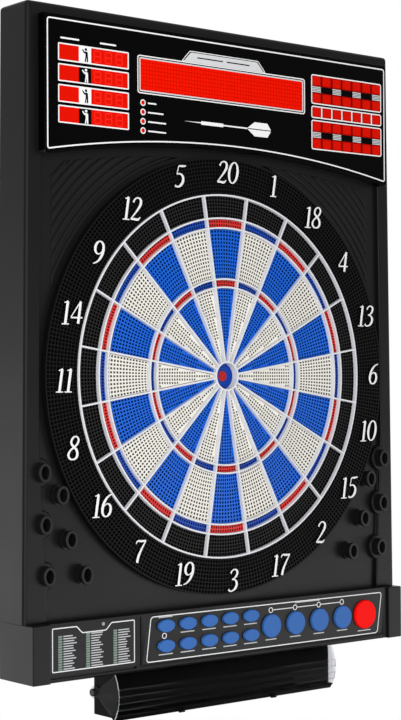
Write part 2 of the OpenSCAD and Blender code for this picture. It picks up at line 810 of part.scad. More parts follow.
function grip_at(i) = grip_first - i * grip_step;

// Cheek of the visor: a sector about the pivot with a round hub
module visor_side_2d() translate([pivot_d, pivot_z]) {
    circle(hub_r);
    arc_2d(0, visor_out_r, -visor_fall, visor_rise);
}

// Part of a ring between two angles, counted upwards from straight ahead
module arc_2d(inner, outer, low, high) intersection() {
    difference() {
        circle(outer);
        if (inner > 0) circle(inner);
    }
    polygon(concat([[0, 0]], [for (a = [low, (low + high) / 2, high]) 2 * outer * [cos(a), sin(a)]]));
}

module speaker() color("#4a4a4e") translate([speaker_x, -speaker_d, console_base + wall])
    rotate_extrude() polygon([[0, cone_h], [speaker_r - cone_edge, cut], [speaker_r - cone_edge + cut, 0],
        [speaker_r, 0], [speaker_r, basket_t], [magnet_r, speaker_h - magnet_h], [magnet_r, speaker_h],
        [0, speaker_h]]);

module main_board() color("#1c4a2c") {
    slab(board_back, board_back + board_t) box_2d(-board_w / 2, board_z + board_h / 2, board_w, board_h);
    slab(board_back, board_back + board_t + chip_h) translate([0, board_z]) square(chip_w, center = true);
    slab(board_back, board_back + board_t + plug_h)
        translate([board_w / 3, board_z]) square([plug_w, chip_w], center = true);
}

module power_socket() color("#111113") translate([socket_x, -console_d / 2, console_base]) difference() {
    union() {
        translate([-socket_w / 2, -socket_w / 2, wall]) cube([socket_w, socket_w, socket_h]);
        cylinder(wall + cut, r = socket_r + fit);
    }
    translate([0, 0, -cut]) difference() {
        cylinder(socket_h - wall + cut, r = socket_r - socket_wall);
        cylinder(socket_h, r = socket_pin_r);
    }
}

module housing_screws() color("#9a9ca0") for (p = concat(SCREW_POSTS, CONSOLE_POSTS)) {
    slab(fit / 2, screw_head_h) translate(p) circle(screw_head_r);
    slab(fit / 2, screw_l) translate(p) circle(screw_r - fit / 4);
}

front_housing();
rear_cover();
dart_holders();
display_fascia();
display_lenses();
display_board();
number_ring();
spider();
catch_pads();
sensor_film();
backing_pad();
backing_plate();
for (k = [0:len(NUMBERS) - 1])
    bed(k);
outer_bull();
inner_bull();
console_housing();
button_plate();
list_plate();
button_board();
for (i = [0:len(OVALS) - 1])
    small_button(i);
for (i = [0:len(LARGES) - 1])
    large_button(i);
start_button();
accessory_tray();
pivot_screws();
visor();
speaker();
main_board();
power_socket();
housing_screws();
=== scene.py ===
"""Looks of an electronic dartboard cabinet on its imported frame, laid out as an add-on.

Front elevations are drawn in millimetres, X across and Z up from the bull. The player is towards -Y.
"""

import json
import math
from itertools import accumulate

import bmesh
import bpy
from bmesh.types import BMEdge, BMVert
from bpy.props import FloatProperty, FloatVectorProperty, PointerProperty
from bpy.types import Operator, Panel, PropertyGroup
from mathutils import Matrix, Vector


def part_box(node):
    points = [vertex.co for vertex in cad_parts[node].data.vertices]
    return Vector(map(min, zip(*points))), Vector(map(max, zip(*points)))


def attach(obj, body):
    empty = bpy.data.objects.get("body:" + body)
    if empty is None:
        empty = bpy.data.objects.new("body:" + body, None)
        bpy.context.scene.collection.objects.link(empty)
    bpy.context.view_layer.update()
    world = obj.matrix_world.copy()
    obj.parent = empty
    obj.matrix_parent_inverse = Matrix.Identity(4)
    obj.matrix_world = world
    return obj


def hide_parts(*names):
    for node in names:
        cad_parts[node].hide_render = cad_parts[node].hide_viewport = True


bl_info = {
    "name": "Electronic Dartboard Cabinet",
    "version": (1, 0, 0),
    "blender": (4, 5, 0),
    "location": "3D View > Sidebar > Dartboard",
    "description": "Dresses the frame of a dartboard cabinet with its moulded, printed and lit pieces",
    "category": "Object",
}

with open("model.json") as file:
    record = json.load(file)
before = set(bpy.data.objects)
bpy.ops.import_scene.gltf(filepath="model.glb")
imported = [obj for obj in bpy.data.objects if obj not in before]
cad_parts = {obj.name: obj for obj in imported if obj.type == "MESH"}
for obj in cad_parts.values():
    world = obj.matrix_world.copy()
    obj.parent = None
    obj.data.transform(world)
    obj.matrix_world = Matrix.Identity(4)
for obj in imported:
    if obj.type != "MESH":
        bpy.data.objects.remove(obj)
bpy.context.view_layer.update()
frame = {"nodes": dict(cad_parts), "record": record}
MM = 0.001
# How near to a level a point counts as on it, and points that count as one
NEAR = 0.01 * MM
SAME = 0.001 * MM
NUMBERS = (20, 1, 18, 4, 13, 6, 10, 15, 2, 17, 3, 19, 7, 16, 8, 11, 14, 9, 12, 5)
SECTOR = math.tau / len(NUMBERS)

# Levels of the frame's faces towards the player
SPIDER_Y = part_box("spider")[0].y
BED_Y, BED_BACK_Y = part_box("bed_20")[0].y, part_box("bed_20")[1].y
PAD_Y, PAD_BACK_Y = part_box("catch_pads")[0].y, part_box("catch_pads")[1].y
BULL_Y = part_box("outer_bull")[0].y
RING_Y, RING_BACK_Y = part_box("number_ring")[0].y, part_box("number_ring")[1].y
FASCIA_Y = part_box("display_fascia")[0].y
LENS_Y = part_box("display_lenses")[0].y
PLATE_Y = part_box("button_plate")[0].y
RING_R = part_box("number_ring")[1].x

# Radius of the bull's ring, widths of the rings of beds outside it, the blades between them and the gaps
BULL_RING = 17.8
BED_WIDTHS = (94.4, 10.3, 64.4, 12.3)
PAD_WIDTH = 29.1
BLADE = 2.0
BED_GAP = 0.5
PAD_GAP = 0.3
RING_GAP = 0.5
BULL_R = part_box("inner_bull")[1].x / MM
RINGS = list(accumulate((BULL_RING, *BED_WIDTHS, PAD_WIDTH)))
BED_RADII = list(zip(RINGS[:-2], RINGS[1:-1]))
RING_BORE = RINGS[-1] + BLADE / 2 + RING_GAP


def srgb(red, green, blue):
    """Colour on a screen, 0 to 255, as the linear colour that a shader takes."""
    shares = (red / 255, green / 255, blue / 255)
    return tuple(c / 12.92 if c <= 0.04045 else ((c + 0.055) / 1.055) ** 2.4 for c in shares)


def length(title, text, default):
    return FloatProperty(
        name=title, description=text, default=default * MM, min=0, unit="LENGTH", precision=5
    )


def angle(title, text, default):
    return FloatProperty(name=title, description=text, default=math.radians(default), subtype="ANGLE")


def colour(title, text, *default):
    return FloatVectorProperty(
        name=title, description=text, default=srgb(*default), subtype="COLOR", size=3, min=0, max=1
    )


class TargetSettings(PropertyGroup):
    """Dart holes and numerals of the target."""

    hole_pitch: length("Hole pitch", "Distance from one dart hole of a bed to the next", 4.4)
    hole_width: length("Hole width", "Width of a dart hole in a bed", 1.62)
    hole_depth: length("Hole depth", "Depth of a dart hole", 4)
    bull_hole: length("Bull hole", "Width of a dart hole in the bull", 0.9)
    ring_pitch: length("Ring pitch", "Distance from one hole of the number ring to the next", 4.6)
    ring_hole: length("Ring hole", "Width of a hole in the number ring", 3)
    numeral_height: length("Numeral height", "Height of the numerals", 28.6)
    numeral_across: length("Numeral reach", "Distance of the side numerals from the bull", 253.5)
    numeral_up: length("Numeral rise", "Distance of the upper and lower numerals from the bull", 257.5)
    numeral_shift: length("Numeral shift", "How far all numerals stand to the right", 5.4)
    numeral_turn: angle("Numeral turn", "Turn of the ring of numerals against the beds", 0.6)
    numeral_raise: length("Numeral relief", "How far the numerals stand in front of their ring", 2.6)
    numeral_slant: angle("Numeral slant", "Lean of the numerals", 9)
    spider_edge: length("Blade edge", "Rounding of the spider's front edges", 0.35)


class FinishSettings(PropertyGroup):
    """Colours of the cabinet's finishes."""

    body: colour("Body", "Moulded cabinet and console", 17, 17, 18)
    trim: colour("Trim", "Number ring and tray", 11, 11, 12)
    pad: colour("Catch pads", "Pads outside the double ring", 30, 30, 31)
    # Gloss black is also the painted shade in the catch pads' holes
    gloss: colour("Gloss black", "Printed panels", 3, 3, 4)
    lens: colour("Lens", "Red windows of the display", 235, 20, 3)
    spider: colour("Spider", "Web between the beds", 217, 218, 222)
    blue: colour("Blue", "Blue single beds", 4, 90, 202)
    deep_blue: colour("Deep blue", "Blue double and triple beds", 12, 62, 160)
    cream: colour("Cream", "Cream single beds", 231, 228, 219)
    red: colour("Red", "Red double and triple beds", 206, 45, 43)
    button: colour("Button", "Blue buttons", 54, 101, 169)
    start: colour("Start button", "Red button", 247, 15, 13)
    ink: colour("Ink", "White print of the display", 236, 236, 236)
    smoke: colour("Visor", "Tint of the clear visor", 222, 223, 226)


class CameraSettings(PropertyGroup):
    """Where the camera stands."""

    azimuth: angle("Azimuth", "Turn of the view to the side", -39.3138)
    elevation: angle("Elevation", "Height of the view above the horizon", -0.7977)
    roll: angle("Roll", "Tilt of the frame", -0.2859)
    distance: length("Distance", "Distance from the bull along the view", 2171.1)
    across: length("Across", "How far the frame's middle lies left of the bull", 33.9)
    above: length("Above", "How far the frame's middle lies above the bull", 20.3)
    lens: FloatProperty(
        name="Lens", description="Focal length on a 36 mm sensor", default=86.06, min=1, unit="CAMERA"
    )


def finishes():
    return bpy.context.scene.dartboard_finish


# Materials

def fill(node, **values):
    """Sets a node's inputs by their names, with underscores for spaces."""
    for socket, value in values.items():
        node.inputs[socket.replace("_", " ")].default_value = value
    return node


def scaled(tone, share):
    return [c * share for c in tone]


def shader_material(name, tone, roughness, **sockets):
    """Material with one Principled shader; returns it with its tree and shader."""
    made = bpy.data.materials.new(name)
    made.use_nodes = True
    tree = made.node_tree
    shader = fill(tree.nodes["Principled BSDF"], Base_Color=(*tone, 1), Roughness=roughness, **sockets)
    return made, tree, shader


def texture(tree, kind, mapping=None, **values):
    """Texture over the piece's own coordinates, which a mapping may turn or stretch."""
    source = tree.nodes.new("ShaderNodeTexCoord").outputs["Object"]
    if mapping:
        moved = fill(tree.nodes.new("ShaderNodeMapping"), **mapping)
        tree.links.new(source, moved.inputs["Vector"])
        source = moved.outputs["Vector"]
    made = fill(tree.nodes.new(f"ShaderNodeTex{kind}"), **values)
    tree.links.new(source, made.inputs["Vector"])
    return made


def noise(tree, scale, detail=2.0):
    return texture(tree, "Noise", Scale=scale, Detail=detail).outputs["Fac"]


def spread(tree, value, low, high):
    """A noise value, which stays near its middle, stretched between two limits."""
    made = fill(tree.nodes.new("ShaderNodeMapRange"), From_Min=0.3, From_Max=0.7, To_Min=low, To_Max=high)
    tree.links.new(value, made.inputs["Value"])
    return made.outputs["Result"]


def bump(tree, shader, height, distance, strength=1.0):
    made = fill(tree.nodes.new("ShaderNodeBump"), Strength=strength, Distance=distance)
    tree.links.new(height, made.inputs["Height"])
    tree.links.new(made.outputs["Normal"], shader.inputs["Normal"])


def tone_range(tree, shader, value, tone, swing):
    """Colour that wanders a little lighter and darker with a value."""
    made = tree.nodes.new("ShaderNodeMix")
    made.data_type = "RGBA"
    fill(made, A=(*scaled(tone, 1 - swing), 1), B=(*[min(1, c) for c in scaled(tone, 1 + swing)], 1))
    tree.links.new(value, made.inputs["Factor"])
    tree.links.new(made.outputs["Result"], shader.inputs["Base Color"])


def moulded_plastic(name, tone, roughness, grain=700.0, depth=0.06, swing=0.08, sheen=0.1, **sockets):
    """Moulded plastic with a fine eroded grain, its depth in millimetres, and slightly uneven sheen."""
    made, tree, shader = shader_material(name, tone, roughness, Specular_IOR_Level=sheen, **sockets)
    cloud = noise(tree, 9)
    tone_range(tree, shader, cloud, tone, swing)
    tree.links.new(spread(tree, cloud, roughness - 0.05, roughness + 0.06), shader.inputs["Roughness"])
    bump(tree, shader, noise(tree, grain, 3), depth * MM, 0.5)
    return made


def printed_ink(name, tone):
    """Screen-printed ink, a little patchy."""
    made, tree, shader = shader_material(name, tone, 0.45)
    tone_range(tree, shader, noise(tree, 160), tone, 0.03)
    return made


def grid_lens(name, tone, pitch, line):
    """Red window with the cells of a lamp matrix behind it."""
    made, tree, shader = shader_material(name, tone, 0.22, Emission_Strength=0.1, Specular_IOR_Level=0)
    bright, dim, dark = [(*scaled(tone, share), 1) for share in (1, 0.94, 0.5)]
    cells = texture(
        tree, "Brick", {"Rotation": (math.radians(-90), 0, 0)}, Color1=bright, Color2=dim, Mortar=dark,
        Scale=1, Mortar_Size=line, Mortar_Smooth=0.8, Brick_Width=pitch, Row_Height=pitch,
    )
    cells.offset = 0
    for socket in ("Base Color", "Emission Color"):
        tree.links.new(cells.outputs["Color"], shader.inputs[socket])
    return made


def circuit_board(name):
    """Green board with lighter copper traces under its varnish."""
    tone = srgb(24, 92, 52)
    made, tree, shader = shader_material(name, tone, 0.35)
    traces = texture(tree, "Voronoi", Scale=90)
    traces.distance = "CHEBYCHEV"
    tone_range(tree, shader, traces.outputs["Distance"], tone, 0.35)
    bump(tree, shader, traces.outputs["Distance"], 0.05 * MM, 0.4)
    return made


def brushed_metal(name, tone, roughness):
    made, tree, shader = shader_material(name, tone, roughness, Metallic=1)
    lines = texture(tree, "Noise", {"Scale": (1, 1, 14)}, Scale=260).outputs["Fac"]
    polish = spread(tree, lines, roughness - 0.08, roughness + 0.12)
    tree.links.new(polish, shader.inputs["Roughness"])
    return made


def clear_plastic(name, tone, clarity, roughness=0.31):
    """Clear cover with faint handling marks in its soft polish; a lower clarity makes it milky."""
    made, tree, shader = shader_material(name, tone, roughness, IOR=1.06, Transmission_Weight=clarity)
    polish = spread(tree, noise(tree, 40, 4), roughness * 0.93, roughness * 1.07)
    tree.links.new(polish, shader.inputs["Roughness"])
    return made


def hardboard(name):
    tone = srgb(112, 84, 58)
    made, tree, shader = shader_material(name, tone, 0.7)
    tone_range(tree, shader, noise(tree, 420, 6), tone, 0.3)
    bump(tree, shader, noise(tree, 900, 4), 0.1 * MM, 0.5)
    return made


# Meshes

def oriented(bm):
    bmesh.ops.remove_doubles(bm, verts=bm.verts, dist=SAME)
    bmesh.ops.recalc_face_normals(bm, faces=bm.faces)
    return bm


def add_piece(name, bm, body, materials, replaces=(), slot=None, crease=35, even=False):
    """Makes a bmesh an object on a body, smooth up to the crease angle, or with flat faces kept even."""
    mesh = bpy.data.meshes.new(name)
    bm.to_mesh(mesh)
    bm.free()
    for each in materials:
        mesh.materials.append(each)
    mesh.shade_smooth()
    mesh.set_sharp_from_angle(angle=math.radians(crease))
    made = bpy.data.objects.new(name, mesh)
    bpy.context.scene.collection.objects.link(made)
    if even:
        made.modifiers.new("even_faces", "WEIGHTED_NORMAL").keep_sharp = True
    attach(made, body)
    if replaces:
        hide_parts(*replaces)
    return made


def join(bm, other):
    """Adds one bmesh to another and frees it."""
    carrier = bpy.data.meshes.new("carrier")
    other.to_mesh(carrier)
    other.free()
    bm.from_mesh(carrier)
    bpy.data.meshes.remove(carrier)


def add_all(name, shapes, *materials, **said):
    """Makes many shapes one piece of the cabinet."""
    bm = bmesh.new()
    for each in shapes:
        join(bm, each)
    add_piece(name, bm, "cabinet", materials, **said)


def only(kind, geom):
    return [each for each in geom if isinstance(each, kind)]


def cut(bm, place, normal, **cleared):
    """Cuts a bmesh along a plane."""
    geom = bm.verts[:] + bm.edges[:] + bm.faces[:]
    bmesh.ops.bisect_plane(bm, geom=geom, dist=SAME / 10, plane_co=place, plane_no=normal, **cleared)


def cad_copy(node):
    """Merged copy of a node's mesh with its flat faces whole, but for those at its back."""
    bm = bmesh.new()
    bm.from_mesh(frame["nodes"][node].data)
    bmesh.ops.remove_doubles(bm, verts=bm.verts, dist=2 * SAME)
    back = max(v.co.y for v in bm.verts) - SAME
    bmesh.ops.dissolve_limit(
        bm, angle_limit=math.radians(0.3), verts=[v for v in bm.verts if v.co.y < back],
        edges=[e for e in bm.edges if min(v.co.y for v in e.verts) < back],
    )
    return bm


# Rounded edges: width in millimetres and segments
CABINET_EDGE = (5, 5)
BORDER_EDGE = (2.5, 4)
RIB_EDGE = (1.5, 4)
DISPLAY_CORNER = (4.5, 3)
DISPLAY_EDGE = (1.2, 3)
CONSOLE_EDGE = (1.4, 3)
BUTTON_EDGE = (1.3, 4)
HOLDER_EDGE = (0.9, 3)
TRAY_EDGE = (1, 2)
SCREW_EDGE = (0.9, 3)
VISOR_EDGE = (0.8, 2)
# Angle between two faces, in radians, past which their edge counts as sharp
SHARP = 0.6


def round_edges(bm, test, edge, clamp=False):
    """Bevels the sharp edges whose both ends pass a test; returns the new faces."""
    width, segments = edge
    sharp = [
        e for e in bm.edges
        if len(e.link_faces) == 2 and e.calc_face_angle(0) > SHARP and all(test(v.co) for v in e.verts)
    ]
    return bmesh.ops.bevel(
        bm, geom=sharp, offset=width * MM, offset_type="OFFSET", affect="EDGES", segments=segments,
        profile=0.5, material=-1, clamp_overlap=clamp,
    )["faces"]


def flat(outline, y, corner=0.0, line=0.0, thick=0.1, index=0):
    """Flat shape in front elevation from an outline in millimetres: filled, or only a line along its edge."""
    bm = bmesh.new()
    bm.faces.new([bm.verts.new((x * MM, y, z * MM)) for x, z in outline])
    bm.normal_update()
    if corner:
        turns = [k.vert for k in bm.faces[:][0].loops if abs(math.pi - k.calc_angle()) > 0.3]
        bmesh.ops.bevel(
            bm, geom=turns, offset=corner * MM, offset_type="OFFSET", affect="VERTICES", segments=5,
            profile=0.5, material=-1,
        )
    if line:
        inner = bm.faces[:]
        bmesh.ops.inset_region(bm, faces=inner, thickness=line * MM, use_boundary=True, use_even_offset=True)
        bmesh.ops.delete(bm, geom=inner, context="FACES")
    copy = bmesh.ops.extrude_face_region(bm, geom=bm.faces[:], use_keep_orig=True)["geom"]
    bmesh.ops.translate(bm, verts=only(BMVert, copy), vec=(0, thick * MM, 0))
    oriented(bm)
    for face in bm.faces:
        face.material_index = index
    return bm


def box(left, top, width, height):
    return [(left, top - height), (left + width, top - height), (left + width, top), (left, top)]


def bar(left, top, width, height, y, thick, index=0):
    return flat(box(left, top, width, height), y, 0, 0, thick, index)


def disc(x, z, radius, steps=24):
    turns = [math.tau * i / steps for i in range(steps)]
    return [(x + radius * math.cos(a), z + radius * math.sin(a)) for a in turns]


def dome(x, y, z, radius, depth, rings, index=0):
    """Flattened ball in front elevation, its depth a share of its radius."""
    bm = bmesh.new()
    bmesh.ops.create_uvsphere(bm, u_segments=2 * rings, v_segments=rings, radius=radius * MM)
    bmesh.ops.scale(bm, verts=bm.verts, vec=(1, depth, 1))
    bmesh.ops.translate(bm, verts=bm.verts, vec=(x * MM, y, z * MM))
    for face in bm.faces:
        face.material_index = index
    return bm


# Share of a cell's area past which it is whole, how far a hole narrows inwards, and the rim by a ring
WHOLE_CELL = 0.97
HOLE_DRAFT = 0.12 * MM
ROW_RIM = 0.25
# Length of the steps along a straight cell's curved sides
SIDE_STEP = 6


def pocket_sheet(outline, across, along, hole, depth, index=0, inside=None):
    """Sheet inside an outline, cut along two sets of lines, with a square hole in every whole cell."""
    bm = bmesh.new()
    bm.faces.new([bm.verts.new((u * MM, 0, v * MM)) for u, v in outline])
    bm.normal_update()
    for lines, normal in ((across, (1, 0, 0)), (along, (0, 0, 1))):
        for value in lines:
            cut(bm, Vector(normal) * value * MM, normal)
    cell = (across[1] - across[0], along[1] - along[0])
    whole = [f for f in bm.faces if f.calc_area() > WHOLE_CELL * cell[0] * cell[1] * MM * MM]
    rim = (min(cell) - hole) / 2 * MM
    bmesh.ops.inset_individual(bm, faces=whole, thickness=rim, depth=0)
    walls = bmesh.ops.inset_individual(bm, faces=whole, thickness=HOLE_DRAFT, depth=-depth)["faces"]
    for face in bm.faces:
        face.material_index = index
    # Walls and floors of the holes may take their own material, which the beds and pads use as painted shade
    for face in whole + walls:
        face.material_index = index if inside is None else inside
    return bm


def add_walls(bm, front, back):
    """Moves a sheet to its level and gives it straight walls; returns their edges at the back."""
    bmesh.ops.translate(bm, verts=bm.verts, vec=(0, front, 0))
    made = bmesh.ops.extrude_edge_only(bm, edges=[e for e in bm.edges if e.is_boundary])["geom"]
    for vert in only(BMVert, made):
        vert.co.y = back
    return only(BMEdge, made)


def close_back(bm, front, back):
    bmesh.ops.edgeloop_fill(bm, edges=add_walls(bm, front, back))


def close_ring(ring, front, back):
    bmesh.ops.bridge_loops(ring, edges=add_walls(ring, front, back))
    return oriented(ring)


def polar_sheet(inner, outer, sectors, count, pitch, hole, depth, rim):
    """Perforated ring of equal sectors, each with a count of holes along it in rows at a pitch."""
    middle = (inner + outer) / 2
    half = middle * math.pi / sectors
    across = lines_between(-half, half, 2 * half / count)
    along = lines_between(inner + rim, outer - rim, pitch)
    ring = bmesh.new()
    for k in range(sectors):
        bm = pocket_sheet(box(-half, outer, 2 * half, outer - inner), across, along, hole, depth)
        for vert in bm.verts:
            a, r = vert.co.x / (middle * MM) + math.tau * k / sectors, vert.co.z
            vert.co.x, vert.co.z = r * math.sin(a), r * math.cos(a)
        join(ring, bm)
    bmesh.ops.remove_doubles(ring, verts=ring.verts, dist=2 * SAME)
    return ring


def lines_between(low, high, pitch):
    """Evenly spaced lines from low to high, as near to a pitch as fits."""
    count = max(1, round((high - low) / pitch))
    return [low + (high - low) * i / count for i in range(count + 1)]


def columns(half, pitch):
    """Lines at a pitch, even about the middle, out to a half width."""
    count = int(half / pitch) + 1
    return [pitch * (i - count + 0.5) for i in range(2 * count)]


def cell_sheet(inner, outer, gap, across, along, hole, depth, index=0, inside=None, fanned=True):
    """Perforated cell of a sector between two rings: rows along the rings, columns fanned or straight."""
    low, high = inner + BLADE / 2 + gap, outer - BLADE / 2 - gap
    side = BLADE / 2 + gap

    def half(r):
        return r * math.sin(SECTOR / 2 - math.asin(side / r))

    rows = lines_between(low + ROW_RIM, high - ROW_RIM, along)
    middle = half((low + high) / 2)
    if fanned:
        outline = box(-middle, high, 2 * middle, high - low)
        lines = lines_between(-middle, middle, across)
    else:
        radii = lines_between(low, high, SIDE_STEP)
        outline = [(half(r), r) for r in radii] + [(-half(r), r) for r in reversed(radii)]
        lines = columns(half(high), across)
    bm = pocket_sheet(outline, lines, rows, hole, depth, index, inside)
    for vert in bm.verts:
        if fanned:
            vert.co.x *= half(vert.co.z / MM) / middle
        vert.co.z = math.sqrt(vert.co.z**2 - vert.co.x**2)
    return bm


def turn(bm, k):
    """Turns a cell clockwise to the place of number k."""
    bmesh.ops.rotate(bm, verts=bm.verts, cent=(0, 0, 0), matrix=Matrix.Rotation(SECTOR * k, 3, "Y"))
    return bm


# Numerals as strokes of [across, up, half width] in a box one high; a closed stroke ends with True
OVAL = [
    (0.26 + 0.2 * math.cos(a), 0.5 + 0.46 * math.sin(a), 0.024 + 0.036 * abs(math.cos(a)) ** 1.4)
    for a in [math.tau * i / 12 for i in range(12)]
]
SIX = [
    (0.45, 0.965, 0.02), (0.29, 0.89, 0.034), (0.13, 0.66, 0.054), (0.075, 0.36, 0.06), (0.13, 0.12, 0.048),
    (0.26, 0.035, 0.026), (0.39, 0.13, 0.05), (0.43, 0.31, 0.058), (0.38, 0.49, 0.046), (0.27, 0.56, 0.026),
    (0.16, 0.5, 0.02), (0.09, 0.4, 0.02),
]
DIGITS = {
    "0": (0.52, [(OVAL, True)]),
    "1": (0.36, [
        ([(0.19, 0.03, 0.056), (0.19, 0.5, 0.056), (0.19, 0.95, 0.056)], False),
        ([(0.2, 0.965, 0.03), (0.12, 0.92, 0.024), (0.05, 0.9, 0.02)], False),
        ([(0.04, 0.022, 0.021), (0.19, 0.024, 0.024), (0.34, 0.022, 0.021)], False)]),
    "2": (0.5, [
        ([(0.07, 0.76, 0.044), (0.11, 0.88, 0.03), (0.24, 0.965, 0.026), (0.38, 0.88, 0.05),
          (0.4, 0.71, 0.058), (0.32, 0.5, 0.046), (0.17, 0.25, 0.03), (0.04, 0.06, 0.022)], False),
        ([(0.035, 0.045, 0.028), (0.18, 0.055, 0.046), (0.36, 0.045, 0.046), (0.45, 0.14, 0.018)], False)]),
    "3": (0.5, [
        ([(0.08, 0.8, 0.04), (0.13, 0.91, 0.028), (0.25, 0.965, 0.026), (0.38, 0.88, 0.05),
          (0.38, 0.72, 0.05), (0.27, 0.58, 0.028), (0.17, 0.535, 0.02)], False),
        ([(0.17, 0.535, 0.02), (0.31, 0.51, 0.03), (0.42, 0.36, 0.058), (0.39, 0.16, 0.054),
          (0.24, 0.035, 0.028), (0.11, 0.045, 0.03), (0.05, 0.12, 0.046)], False)]),
    "4": (0.54, [
        ([(0.37, 0.96, 0.03), (0.2, 0.64, 0.024), (0.03, 0.3, 0.022)], False),
        ([(0.03, 0.29, 0.028), (0.28, 0.29, 0.03), (0.51, 0.29, 0.028)], False),
        ([(0.37, 0.95, 0.05), (0.37, 0.5, 0.055), (0.37, 0.04, 0.055)], False)]),
    "5": (0.5, [
        ([(0.14, 0.94, 0.028), (0.3, 0.945, 0.044), (0.46, 0.965, 0.03)], False),
        ([(0.14, 0.94, 0.022), (0.12, 0.76, 0.02), (0.1, 0.58, 0.02)], False),
        ([(0.1, 0.575, 0.022), (0.24, 0.605, 0.03), (0.38, 0.5, 0.052), (0.42, 0.32, 0.058),
          (0.35, 0.13, 0.052), (0.2, 0.035, 0.03), (0.07, 0.08, 0.046)], False)]),
    "6": (0.5, [(SIX, False)]),
    "7": (0.5, [
        ([(0.05, 0.83, 0.018), (0.09, 0.94, 0.03), (0.28, 0.935, 0.044), (0.47, 0.945, 0.034)], False),
        ([(0.47, 0.945, 0.022), (0.32, 0.6, 0.04), (0.22, 0.3, 0.054), (0.19, 0.04, 0.058)], False)]),
    "8": (0.5, [
        ([(0.27, 0.53, 0.044), (0.13, 0.68, 0.046), (0.13, 0.85, 0.044), (0.27, 0.97, 0.026),
          (0.4, 0.86, 0.042), (0.39, 0.7, 0.042), (0.27, 0.54, 0.036), (0.12, 0.4, 0.034), (0.06, 0.22, 0.05),
          (0.13, 0.08, 0.042), (0.25, 0.03, 0.026), (0.4, 0.1, 0.046), (0.43, 0.26, 0.056),
          (0.37, 0.42, 0.05)], True)]),
    "9": (0.5, [([(0.5 - x, 1 - z, r) for x, z, r in SIX], False)]),
}
# How much wider and bolder the numerals are than their strokes, and how flat their fronts
NUMERAL_SPREAD = 1.19
NUMERAL_WEIGHT = 1.16
NUMERAL_FLATNESS = 0.4


def numeral(text, height, slant, relief):
    """Raised numeral of swelling strokes on dark sides, standing on Y = 0 with its middle at the origin."""
    shape = bpy.data.curves.new("numeral", "CURVE")
    shape.dimensions = "3D"
    shape.bevel_depth = height
    shape.bevel_resolution = 2
    shape.resolution_u = 5
    shape.use_fill_caps = True
    start = -sum(DIGITS[c][0] for c in text) / 2
    for c in text:
        for points, closed in DIGITS[c][1]:
            spline = shape.splines.new("BEZIER")
            spline.bezier_points.add(len(points) - 1)
            spline.use_cyclic_u = closed
            for knot, (x, z, r) in zip(spline.bezier_points, points):
                lean = (z - 0.5) * math.tan(slant)
                knot.co = Vector(((start + x) * NUMERAL_SPREAD + lean, 0, z - 0.5)) * height
                knot.radius = r * NUMERAL_WEIGHT
                knot.handle_left_type = knot.handle_right_type = "AUTO"
        start += DIGITS[c][0]
    carrier = bpy.data.objects.new("numeral", shape)
    bpy.context.scene.collection.objects.link(carrier)
    graph = bpy.context.evaluated_depsgraph_get()
    mesh = bpy.data.meshes.new_from_object(carrier.evaluated_get(graph))
    bm = bmesh.new()
    bm.from_mesh(mesh)
    bpy.data.objects.remove(carrier)
    bpy.data.curves.remove(shape)
    bpy.data.meshes.remove(mesh)
    oriented(bm)
    cut(bm, (0, 0, 0), (0, 1, 0), clear_outer=True)
    bmesh.ops.scale(bm, verts=bm.verts, vec=(1, NUMERAL_FLATNESS, 1))
    bmesh.ops.translate(bm, verts=bm.verts, vec=(0, -relief, 0))
    caps = set(bm.faces)
    rim = bmesh.ops.extrude_edge_only(bm, edges=[e for e in bm.edges if e.is_boundary])["geom"]
    bmesh.ops.translate(bm, verts=only(BMVert, rim), vec=(0, relief, 0))
    for face in bm.faces:
        face.material_index = 0 if face in caps else 1
    return oriented(bm)


# Operators

WHITE = (1, 1, 1, 1)
# Light of the surroundings on the object; what the camera sees of them is white
SOFT_LIGHT = 0.42
# Lamps: place and size of the face in metres, power in watts; the key lamp only gives a gloss
LAMPS = {
    "key_light": ((1.28, -1.58, -0.9), (3.6, 1.4), 42),
    "fill_light": ((-1.45, -1.85, 0.1), (2, 2), 50),
    "side_light": ((-2, 2, -0.8), (2.2, 2.2), 34),
}
FLOOR_RADIUS = 2.2
FLOOR_PLACE = (0, -0.4, -1.73)
FLOOR_TONE = srgb(244, 244, 244)


